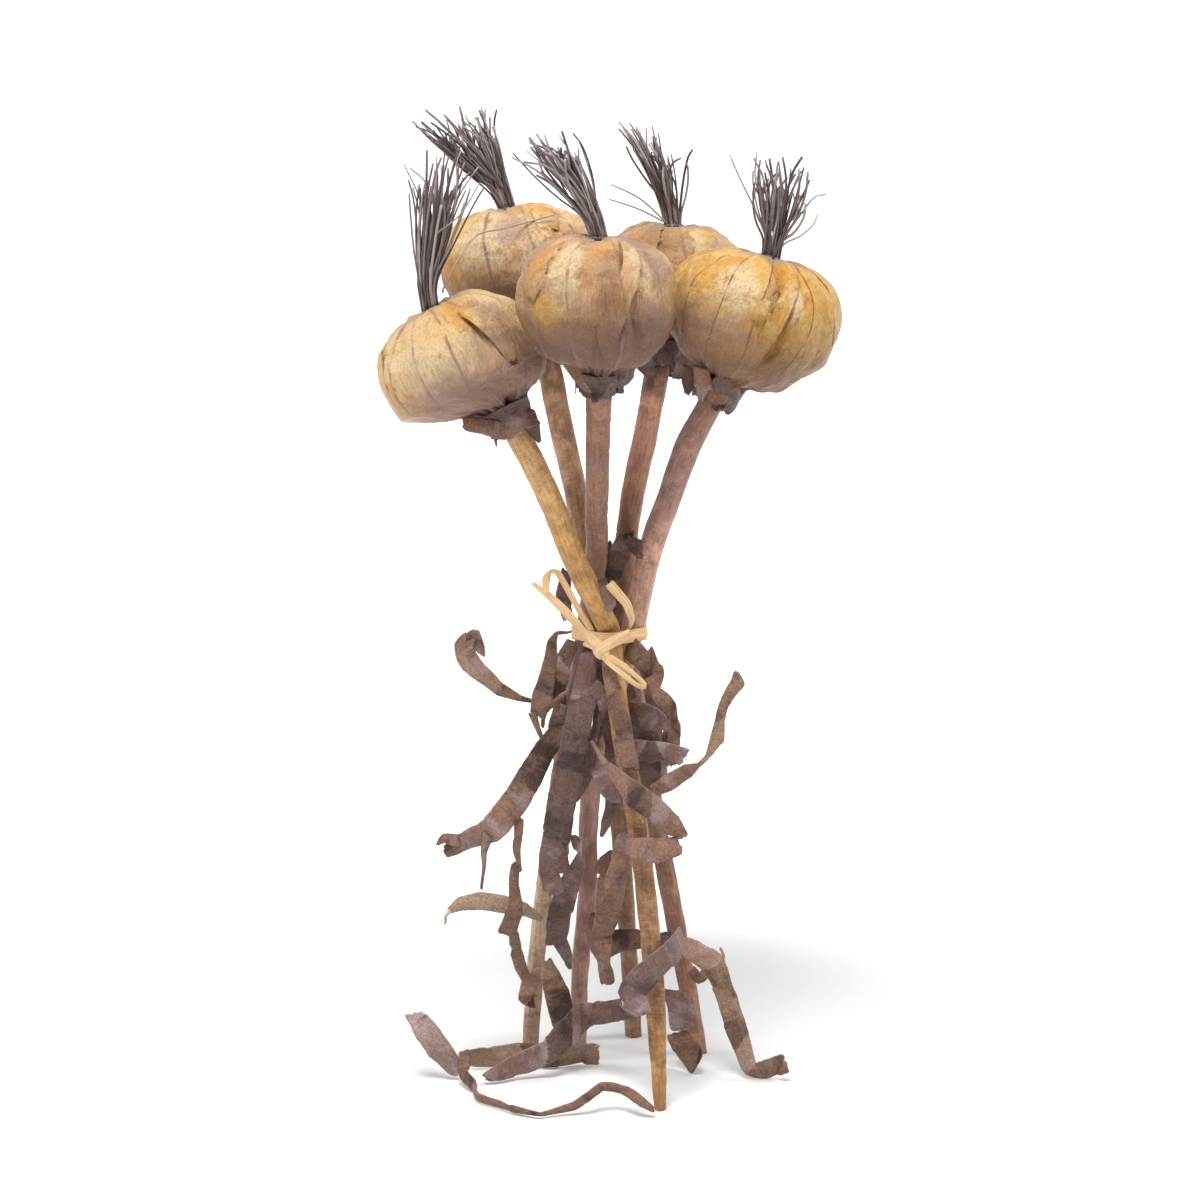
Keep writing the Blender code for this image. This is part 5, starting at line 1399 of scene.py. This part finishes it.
# Torn flaps that stand off a neck: finish, route, widths
NECK_FLAPS = {
    1: (("husk_red", ((-0.0385, -0.0215, 0.2720), (-0.0430, -0.0225, 0.2720), (-0.0495, -0.0220, 0.2735),
                      (-0.0580, -0.0200, 0.2740)), (0.0070, 0.0075, 0.0065, 0.0055)),
        ("husk", ((-0.0330, -0.0190, 0.2790), (-0.0305, -0.0185, 0.2730), (-0.0275, -0.0170, 0.2665)),
         (0.0070, 0.0065, 0.0015))),
    2: (("husk", ((-0.0200, 0.0245, 0.3070), (-0.0175, 0.0220, 0.3010), (-0.0165, 0.0210, 0.2950)),
         (0.0070, 0.0080, 0.0030)),),
    3: (("husk_red", ((-0.0175, -0.0440, 0.3030), (-0.0115, -0.0460, 0.2970), (-0.0065, -0.0440, 0.2915),
                      (-0.0040, -0.0425, 0.2885)), (0.0050, 0.0075, 0.0070, 0.0030)),
        ("husk", ((-0.0010, -0.0480, 0.3040), (-0.0015, -0.0470, 0.2985), (-0.0015, -0.0455, 0.2930),
                  (-0.0015, -0.0430, 0.2865)), (0.0060, 0.0090, 0.0100, 0.0020)),
        ("husk", ((0.0000, -0.0440, 0.2950), (0.0050, -0.0450, 0.2960), (0.0095, -0.0440, 0.2985)),
         (0.0090, 0.0090, 0.0060))),
    4: (("husk", ((0.0340, 0.0290, 0.3010), (0.0325, 0.0300, 0.2940), (0.0295, 0.0310, 0.2870)),
         (0.0060, 0.0090, 0.0070)),
        ("husk", ((0.0130, 0.0290, 0.3000), (0.0150, 0.0290, 0.2930), (0.0170, 0.0300, 0.2880)),
         (0.0060, 0.0075, 0.0030))),
    5: (("husk_red", ((0.0360, -0.0270, 0.2975), (0.0370, -0.0245, 0.2905), (0.0380, -0.0215, 0.2855),
                      (0.0385, -0.0205, 0.2810)), (0.0060, 0.0075, 0.0060, 0.0015)),
        ("husk", ((0.0430, -0.0275, 0.2960), (0.0460, -0.0260, 0.2905), (0.0470, -0.0240, 0.2860),
                  (0.0460, -0.0220, 0.2820)), (0.0090, 0.0110, 0.0100, 0.0045)),
        ("husk", ((0.0320, -0.0180, 0.2960), (0.0315, -0.0170, 0.2905), (0.0305, -0.0165, 0.2855)),
         (0.0060, 0.0060, 0.0020))),
}


def add_husk(form, head, angle, half_angle, share, past_hem, flare):
    """Add one torn collar to a bmesh, fixed to the neck by its upper edge."""
    way = form.verts.layers.float_vector["way"]
    edge, facet_shade = form.verts.layers.float["edge"], form.verts.layers.float["facet_shade"]
    made = bmesh.ops.create_grid(form, x_segments=26, y_segments=18, size=0.5)
    for vertex in made["verts"]:
        across, fall = vertex.co.x * 2, 0.5 - vertex.co.y
        seed = head.number * 5.0 + angle * 0.11
        narrow = 1 - 0.25 * fall ** 1.3 + 0.12 * noise.noise(Vector((fall * 3.0, across > 0, seed)))
        turn = math.radians(angle + half_angle * across * narrow)
        top = head.surface(turn, share, HUSK_GAP)
        outward = head.neck_turn @ Vector((math.cos(turn), math.sin(turn), 0.0))
        hem = head.neck + outward * (HEM_RADIUS + HUSK_GAP)
        reach = (top - hem).length
        torn_end = HUSK_TEAR * noise.noise(Vector((across * 1.6, 0.0, seed)))
        torn_end += HUSK_FINE_TEAR * noise.noise(Vector((across * 5.0, 1.0, seed)))
        whole = reach + past_hem + torn_end - HUSK_CORNER * across * across
        drop = fall * max(0.3 * reach, whole)
        place = top.lerp(hem, min(1.0, drop / reach)) - head.stalk_up * max(0.0, drop - reach)
        wave = HUSK_WAVE * noise.noise(Vector((across * 2.6, fall * 2.2, seed)))
        vertex.co = place + outward * (flare * fall ** 1.6 + wave + HUSK_STAND_OFF)
        vertex[way] = (across * math.radians(half_angle) * HEM_RADIUS, 0.0, drop + seed)
        vertex[edge] = min((1 - abs(across)) * 4.0, (1 - fall) * reach * 1000)
        # Patchy painted light and shade over the flap.
        vertex[facet_shade] = 0.5 + 0.5 * noise.noise(Vector((across * 1.5, fall * 1.5, seed + 2)))


for number, husks in HUSKS.items():
    for place, (angle, half_angle, share, past_hem, flare, finish) in enumerate(husks, start=1):
        form = new_strip_form()
        add_husk(form, Head(number), angle, half_angle, share, past_hem, flare)
        piece = finish_piece(f"husk_{number}_{place}", form, [LEAF_FINISHES[finish]], [])
        thicken(piece, HUSK_THICKNESS)
    for place, (finish, route, widths) in enumerate(NECK_FLAPS[number], start=1):
        form = leaf_form(new_strip_form(), route, widths, seed=140 + number * 5 + place, crush=0.5)
        piece = finish_piece(f"neck_flap_{number}_{place}", form, [LEAF_FINISHES[finish]], [])
        thicken(piece, HUSK_THICKNESS)

# Root tufts. Dried garlic roots are wiry fibres under a millimetre thick, grey brown
# with paler shiny sides. They grow in a dense brush from the hard disc in the middle
# of the head's root dip, and splay and hook at their broken ends.
FIBRE_SIDES = 6
FIBRE_RINGS = 15
ROOT_LIFT = 0.0021
ROOT_DISC = 0.0044
ROOT_SINK = 0.0012
ROOT_RADII = (0.00036, 0.00070)
STRAY_RADII = (0.00042, 0.00032)
STRAY_TONE = 0.80
# Clumps of each tuft: way, count, length, spread
TUFTS = {
    1: (((0.10, -0.10, 1.0), 40, 0.060, 0.036), ((0.26, 0.05, 1.0), 16, 0.057, 0.050),
        ((0.02, 0.05, 1.0), 12, 0.052, 0.045)),
    2: (((-0.72, 0.00, 0.72), 30, 0.050, 0.065), ((-0.36, 0.10, 0.95), 36, 0.040, 0.060),
        ((-0.52, 0.0, 0.85), 10, 0.038, 0.060)),
    3: (((-0.62, 0.00, 0.80), 34, 0.046, 0.070), ((-0.40, -0.10, 0.90), 38, 0.041, 0.060)),
    4: (((-0.40, 0.05, 0.92), 38, 0.042, 0.080), ((0.02, -0.05, 1.0), 12, 0.032, 0.14)),
    5: (((0.00, 0.00, 1.0), 32, 0.038, 0.14), ((0.26, 0.10, 1.0), 18, 0.036, 0.22)),
}
# Single long fibres that stray from a tuft
STRAYS = {
    1: (((-0.0655, -0.0140, 0.3255), (-0.0635, -0.0250, 0.3300), (-0.0530, -0.0200, 0.3470),
         (-0.0420, 0.0040, 0.3495), (-0.0220, 0.0150, 0.3545)),
        ((-0.0700, -0.0160, 0.3270), (-0.0700, -0.0160, 0.3450), (-0.0580, -0.0240, 0.3560),
         (-0.0505, -0.0220, 0.3680)),
        ((-0.0720, -0.0130, 0.3260), (-0.0745, -0.0130, 0.3460), (-0.0740, -0.0120, 0.3605),
         (-0.0805, -0.0120, 0.3755)),
        ((-0.0700, -0.0130, 0.3270), (-0.0730, -0.0130, 0.3540), (-0.0715, -0.0120, 0.3670),
         (-0.0780, -0.0140, 0.3740)),
        ((-0.0690, -0.0120, 0.3280), (-0.0660, -0.0110, 0.3455), (-0.0640, -0.0100, 0.3650),
         (-0.0580, -0.0100, 0.3805)),
        ((-0.0690, -0.0140, 0.3270), (-0.0660, -0.0140, 0.3420), (-0.0600, -0.0160, 0.3615),
         (-0.0595, -0.0160, 0.3790))),
    4: (((0.0240, 0.0430, 0.3500), (0.0130, 0.0400, 0.3600), (0.0010, 0.0380, 0.3660)),
        ((0.0240, 0.0430, 0.3500), (0.0120, 0.0400, 0.3560), (0.0000, 0.0380, 0.3600))),
    5: (((0.0630, -0.0130, 0.3430), (0.0580, -0.0130, 0.3560), (0.0520, -0.0130, 0.3680),
         (0.0470, -0.0130, 0.3790)),
        ((0.0640, -0.0130, 0.3430), (0.0600, -0.0150, 0.3580), (0.0570, -0.0160, 0.3700),
         (0.0575, -0.0160, 0.3800)),
        ((0.0660, -0.0120, 0.3430), (0.0740, -0.0120, 0.3540), (0.0800, -0.0120, 0.3620),
         (0.0850, -0.0110, 0.3635))),
}
ROOT_DARK = (0.045, 0.030, 0.027)
ROOT_BROWN = (0.110, 0.080, 0.074)
ROOT_MAUVE = (0.20, 0.155, 0.150)
ROOT_GREY = (0.36, 0.315, 0.31)
ROOT_RED = (0.22, 0.095, 0.070)


def fibre_form(form, route, thick, thin, tone):
    """Add one round fibre along a route to a bmesh, thinner at its tip."""
    way = form.verts.layers.float_vector["way"]
    tint = form.verts.layers.float["tone"]
    places = [(len(route) - 1) * ring / (FIBRE_RINGS - 2) for ring in range(FIBRE_RINGS - 1)]
    frames = strip_frames(route, places)
    for ring, angle, vertex in tube_round(form, FIBRE_RINGS, FIBRE_SIDES):
        station = max(0, min(ring - 1, len(places) - 1))
        centre, _, side, normal, run = frames[station]
        radius = 0.0 if ring in (0, FIBRE_RINGS) else blend(thick, thin, station / (len(places) - 1))
        outward = side * math.cos(angle) + normal * math.sin(angle)
        vertex.co = centre + outward * radius
        vertex[way] = (math.cos(angle) * thick, math.sin(angle) * thick, run + tone * 3)
        vertex[tint] = tone


def make_tuft(number, seed):
    """The brush of fibres on one head, with the short hard disc that they grow from."""
    head = Head(number)
    draw = random.Random(seed)
    form = bmesh.new()
    form.verts.layers.float_vector.new("way")
    form.verts.layers.float.new("tone")
    base = head.middle(head.half_height - ROOT_DIP + ROOT_LIFT)
    for way, count, length, spread in TUFTS[number]:
        for _ in range(count):
            start_angle = draw.uniform(0, math.tau)
            off = ROOT_DISC * math.sqrt(draw.uniform(0, 1)) * 0.85
            foot = head.body_turn @ Vector((math.cos(start_angle) * off, math.sin(start_angle) * off, 0))
            aim = Vector(way).normalized() + Vector([draw.gauss(0, spread) for _ in range(3)])
            aim += foot.normalized() * 0.05
            aim.normalize()
            reach = length * draw.uniform(0.70, 1.05)
            start = base + foot - head.way * ROOT_SINK
            bend = Vector([draw.uniform(-0.0020, 0.0020) for _ in range(3)])
            tip = start + head.way * reach * 0.05 + aim * reach * 0.97
            hook = Vector([draw.uniform(-0.0026, 0.0026) for _ in range(3)])
            route = (start, start + head.way * reach * 0.10 + aim * reach * 0.16 - foot * 0.10,
                     start + head.way * reach * 0.09 + aim * reach * 0.46 + bend,
                     start + head.way * reach * 0.07 + aim * reach * 0.76 + bend + hook * 0.3,
                     tip + hook)
            thick = draw.uniform(*ROOT_RADII)
            fibre_form(form, route, thick, thick * 0.78, draw.uniform(0, 1))
    for route in STRAYS.get(number, ()):
        fibre_form(form, route, *STRAY_RADII, STRAY_TONE)
    disc = bmesh.ops.create_uvsphere(form, u_segments=20, v_segments=10, radius=ROOT_DISC)["verts"]
    flat = Matrix.Diagonal((1.0, 1.0, 0.5, 1.0))
    turn = head.body_turn.to_matrix().to_4x4()
    seat = Matrix.Translation(base - head.way * ROOT_SINK)
    bmesh.ops.transform(form, matrix=seat @ turn @ flat, verts=disc)
    bmesh.ops.recalc_face_normals(form, faces=form.faces)
    return form


def make_root_finish():
    """Wiry root: each fibre its own tone, from near black to shiny grey, a few reddish."""
    finish, tree, shader = new_finish("root_fibre", 0.42, 0.45)
    tone = read_value(tree, "tone")
    grain = grain_of(tree, read_way(tree), 2600.0, 12.0, 160.0)
    mixed = calculate(tree, "MULTIPLY_ADD", grain["Streaks"], 0.55, calculate(tree, "MULTIPLY", tone, 0.55))
    colour = tone_band(tree, mixed, ((0.22, ROOT_DARK), (0.42, ROOT_BROWN), (0.60, ROOT_MAUVE),
                                     (0.78, ROOT_GREY)))
    reddish = soft_mask(tree, grain["Blotches"], 0.60, 0.72)
    colour = glaze(tree, colour, ROOT_RED, reddish, 0.45)
    tree.links.new(colour, shader.inputs["Base Color"])
    raise_bumps(tree, shader, grain["Streaks"], 0.0002, 0.7)
    return finish


root_finish = make_root_finish()
for number in HEADS:
    finish_piece(f"root_brush_{number}", make_tuft(number, 20 + number), [root_finish],
                 [f"roots_{number}"])

# Raffia tie. A strip of pale raffia, folded lengthwise by handling, is wound twice round
# the five stalks at their narrowest place and knotted in front, with two ends and a
# loop left long above the knot and a folded loop hanging below it.
TIE_HEIGHT = 0.187
TIE_WIDTH = 0.0052
TIE_TURNS = 2.1
TIE_CLEARANCE = 0.0012
TIE_LAYER = 0.00035
TIE_SWAY = 0.0007
TIE_WANDER = 0.0004
TIE_CRIMP = 0.00014
TIE_FOLD = 0.0002
TIE_TURN_LENGTH = 0.075
RAFFIA_THICKNESS = 0.00030
RAFFIA_FOLDS = {"crush": 0.22, "camber": 0.35, "ragged": 0.35}
RAFFIA_PALE = (0.80, 0.56, 0.31)
RAFFIA_DEEP = (0.62, 0.36, 0.16)
RAFFIA_ORANGE = (0.66, 0.32, 0.12)
RAFFIA_STRIPS = (
    ("tie_long_end",
     ((-0.0060, -0.0220, 0.1865), (-0.0105, -0.0220, 0.1915), (-0.0180, -0.0230, 0.2000),
      (-0.0240, -0.0240, 0.2060), (-0.0305, -0.0240, 0.2110)),
     (0.0040, 0.0035, 0.0035, 0.0030, 0.0020), (10, 30, -25, 20, 30)),
    ("tie_upper_loop",
     ((-0.0070, -0.0175, 0.1905), (-0.0130, -0.0180, 0.2010), (-0.0175, -0.0195, 0.2095),
      (-0.0205, -0.0210, 0.2150), (-0.0230, -0.0240, 0.2160), (-0.0250, -0.0260, 0.2130),
      (-0.0250, -0.0270, 0.2070)),
     (0.0025, 0.0025, 0.0025, 0.0025, 0.0030, 0.0035, 0.0020), (0, 20, -10, 20, 60, 20, 0)),
    ("tie_right_end",
     ((0.0085, -0.0150, 0.1915), (0.0090, -0.0170, 0.1955), (0.0070, -0.0200, 0.2020),
      (0.0000, -0.0245, 0.2110)),
     (0.0015, 0.0030, 0.0035, 0.0040), (60, 30, 0, -10)),
    ("tie_lower_loop",
     ((-0.0015, -0.0230, 0.1800), (0.0040, -0.0245, 0.1755), (0.0100, -0.0240, 0.1705),
      (0.0140, -0.0225, 0.1680)),
     (0.0025, 0.0025, 0.0020, 0.0020), (0, 15, -15, 0)),
)
LOOP_BACK = ((0.0000, -0.0225, 0.1810), (0.0060, -0.0245, 0.1775), (0.0110, -0.0240, 0.1730),
             (0.0140, -0.0230, 0.1700), (0.0140, -0.0225, 0.1680))
LOOP_BACK_WIDTHS = (0.0025, 0.0025, 0.0020, 0.0020, 0.0015)
KNOT_STRIPS = (
    (((-0.0085, -0.0210, 0.1895), (-0.0050, -0.0230, 0.1860), (-0.0020, -0.0230, 0.1830),
      (-0.0005, -0.0225, 0.1800)), (0.0030, 0.0040, 0.0040, 0.0025)),
    (((0.0080, -0.0170, 0.1895), (0.0030, -0.0210, 0.1875), (-0.0020, -0.0235, 0.1850),
      (-0.0045, -0.0240, 0.1830), (-0.0030, -0.0230, 0.1805)), (0.0035, 0.0045, 0.0045, 0.0040, 0.0020)),
    (((-0.0095, -0.0190, 0.1860), (-0.0060, -0.0220, 0.1850), (-0.0030, -0.0230, 0.1820),
      (-0.0010, -0.0225, 0.1795)), (0.0025, 0.0030, 0.0030, 0.0020)),
)


def make_raffia():
    """Raffia: pale straw with grain along the strip and orange patches."""
    finish, tree, shader = new_finish("raffia", 0.52, 0.35, 0.15, (1.0, 0.92, 0.8))
    grain = grain_of(tree, read_way(tree), 2600.0, 40.0, 120.0)
    colour = paint(tree, RAFFIA_DEEP, RAFFIA_PALE, soft_mask(tree, grain["Streaks"], 0.34, 0.58))
    warm = soft_mask(tree, grain["Blotches"], 0.56, 0.72)
    colour = glaze(tree, colour, RAFFIA_ORANGE, warm, 0.45)
    tree.links.new(colour, shader.inputs["Base Color"])
    raise_bumps(tree, shader, grain["Streaks"], 0.0003, 0.8)
    return finish


raffia = make_raffia()


def hull_round_stalks():
    """Evenly spaced points of a tight loop round the five stalks at the tie."""
    circles = []
    for route, radii in STALKS.values():
        places = [place / 40 for place in range(40 * (len(route) - 1))]
        place = min(places, key=lambda place: abs(curve_point(route, place).z - TIE_HEIGHT))
        circles.append((curve_point(route, place).xy, value_at(radii, place)))
    corners = []
    for step in range(720):
        angle = math.tau * step / 720 - math.pi / 2
        outward = Vector((math.cos(angle), math.sin(angle)))
        centre, radius = max(circles, key=lambda circle: circle[0].dot(outward) + circle[1])
        corners.append(centre + outward * (radius + TIE_CLEARANCE))
    runs = [0.0]
    for before, after in zip(corners, corners[1:] + corners[:1]):
        runs.append(runs[-1] + (after - before).length)
    return corners, runs


def hull_point(hull, share):
    """The point a share of the way round the loop, and the way out from it."""
    corners, runs = hull
    run = (share % 1.0) * runs[-1]
    low = max(step for step in range(len(corners)) if runs[step] <= run)
    before, after = corners[low], corners[(low + 1) % len(corners)]
    part = (run - runs[low]) / max(1e-9, runs[low + 1] - runs[low])
    point = before.lerp(after, part)
    return point, point.normalized()


def make_tie_band():
    """The raffia wound round the stalks in flat overlapping turns."""
    form = new_strip_form()
    way = form.verts.layers.float_vector["way"]
    edge = form.verts.layers.float["edge"]
    hull = hull_round_stalks()
    stations = round(130 * TIE_TURNS)
    made = bmesh.ops.create_grid(form, x_segments=stations, y_segments=8, size=0.5)
    for vertex in made["verts"]:
        turn = (vertex.co.x + 0.5) * TIE_TURNS
        y = vertex.co.y
        point, outward = hull_point(hull, turn)
        uneven = 0.05 * noise.noise(Vector((turn * 9, y > 0, 0)))
        width = TIE_WIDTH * (0.86 + 0.10 * math.sin(turn * 5.0) + uneven)
        sway = TIE_SWAY * math.sin(turn * math.pi * 1.1)
        sway += TIE_WANDER * noise.noise(Vector((turn * 3, 0, 7)))
        crimp = TIE_CRIMP * noise.noise(Vector((turn * 40, y * 5.0, 2.0)))
        out = TIE_LAYER * turn + crimp + TIE_FOLD * math.cos(y * 9.0)
        vertex.co = (*(point + outward * out), TIE_HEIGHT + y * width + sway)
        vertex[way] = (y * width, 0.0, turn * TIE_TURN_LENGTH)
        vertex[edge] = (0.5 - abs(y)) * width * 1000
    return form


band = finish_piece("raffia_band", make_tie_band(), [raffia], ["tie_band"])
thicken(band, RAFFIA_THICKNESS)
for number, (name, route, widths, rolls) in enumerate(RAFFIA_STRIPS, start=1):
    form = leaf_form(new_strip_form(), route, widths, seed=80 + number, rolls=rolls,
                     **RAFFIA_FOLDS)
    if name == "tie_lower_loop":
        leaf_form(form, LOOP_BACK, LOOP_BACK_WIDTHS, seed=90, **RAFFIA_FOLDS)
    thicken(finish_piece(name.replace("tie", "raffia"), form, [raffia], [name]),
            RAFFIA_THICKNESS)
knot = new_strip_form()
for number, (route, widths) in enumerate(KNOT_STRIPS, start=1):
    leaf_form(knot, route, widths, seed=95 + number, crush=0.25, camber=0.8, ragged=0.25)
thicken(finish_piece("raffia_knot", knot, [raffia], ["tie_knot"]), RAFFIA_THICKNESS)

# White studio sweep, soft light from both sides and above, and the camera in front of
# the bundle at the height of its heads, looking slightly down.
SWEEP_FRONT = -2.2
SWEEP_TURN = 1.1
SWEEP_RADIUS = 0.7
SWEEP_WIDTH = 6.0
SWEEP_FLAT = 0.4
SWEEP_WALL = 0.7
SWEEP_HEIGHT = 2.2
SWEEP_WHITE = (0.76, 0.76, 0.76)
GLOW_START = 0.14
GLOW_FULL = 0.36
GLOW_STRENGTH = 0.62
WORLD_LIGHT = 0.12
CAMERA_PLACE = (-0.0035, -1.1537, 0.400)
CAMERA_PITCH = math.radians(80.134)
CAMERA_LENS = 86.25
CAMERA_SENSOR = 36.0
LIGHT_AIM = (0.0, 0.0, 0.20)
# Soft lights: name, place, size, power
LIGHTS = (
    ("left_light", (-1.00, 0.05, 1.10), 0.50, 6.0),
    ("right_light", (1.00, 0.05, 1.10), 0.50, 8.5),
    ("front_light", (-0.16, -0.52, 1.40), 0.60, 21.5),
)

sweep_form = bmesh.new()
bmesh.ops.create_grid(sweep_form, x_segments=2, y_segments=60, size=0.5)
for vertex in sweep_form.verts:
    place = vertex.co.y + 0.5
    x = vertex.co.x * SWEEP_WIDTH
    flat = min(1.0, place / SWEEP_FLAT)
    bend = part_way(SWEEP_FLAT, SWEEP_WALL, place) * math.pi / 2
    wall = part_way(SWEEP_WALL, 1.0, place)
    y = blend(SWEEP_FRONT, SWEEP_TURN, flat) + SWEEP_RADIUS * math.sin(bend)
    z = SWEEP_RADIUS * (1 - math.cos(bend)) + wall * SWEEP_HEIGHT
    vertex.co = (x, y, z)
bmesh.ops.recalc_face_normals(sweep_form, faces=sweep_form.faces)
sweep_mesh = bpy.data.meshes.new("sweep")
sweep_form.to_mesh(sweep_mesh)
sweep_form.free()
sweep_mesh.shade_smooth()
sweep_finish, sweep_tree, sweep_shader = new_finish("sweep_white", 0.9, 0.1)
sweep_shader.inputs["Base Color"].default_value = (*SWEEP_WHITE, 1.0)
from_bundle = add_node(sweep_tree, "VectorMath", {0: add_node(sweep_tree, "TexCoord").outputs["Object"]},
                       operation="LENGTH")
glow = soft_mask(sweep_tree, from_bundle.outputs["Value"], GLOW_START, GLOW_FULL)
glow_colour = paint(sweep_tree, (0.0, 0.0, 0.0), (1.0, 1.0, 1.0), glow)
sweep_tree.links.new(glow_colour, sweep_shader.inputs["Emission Color"])
sweep_shader.inputs["Emission Strength"].default_value = GLOW_STRENGTH
sweep_mesh.materials.append(sweep_finish)
sweep = bpy.data.objects.new("sweep", sweep_mesh)
bpy.context.scene.collection.objects.link(sweep)


for name, place, size, power in LIGHTS:
    lamp = bpy.data.lights.new(name, "AREA")
    lamp.shape = "SQUARE"
    lamp.size = size
    lamp.energy = power
    holder = bpy.data.objects.new(name, lamp)
    holder.location = place
    holder.rotation_euler = (Vector(LIGHT_AIM) - Vector(place)).to_track_quat("-Z", "Y").to_euler()
    bpy.context.scene.collection.objects.link(holder)

world = bpy.data.worlds.new("studio")
world.use_nodes = True
world.node_tree.nodes["Background"].inputs["Color"].default_value = (1.0, 1.0, 1.0, 1.0)
world.node_tree.nodes["Background"].inputs["Strength"].default_value = WORLD_LIGHT
bpy.context.scene.world = world
bpy.context.scene.view_settings.view_transform = "Standard"

lens = bpy.data.cameras.new("camera")
lens.lens = CAMERA_LENS
lens.sensor_width = CAMERA_SENSOR
camera = bpy.data.objects.new("camera", lens)
camera.location = CAMERA_PLACE
camera.rotation_euler = (CAMERA_PITCH, 0.0, 0.0)
bpy.context.scene.collection.objects.link(camera)
bpy.context.scene.camera = camera
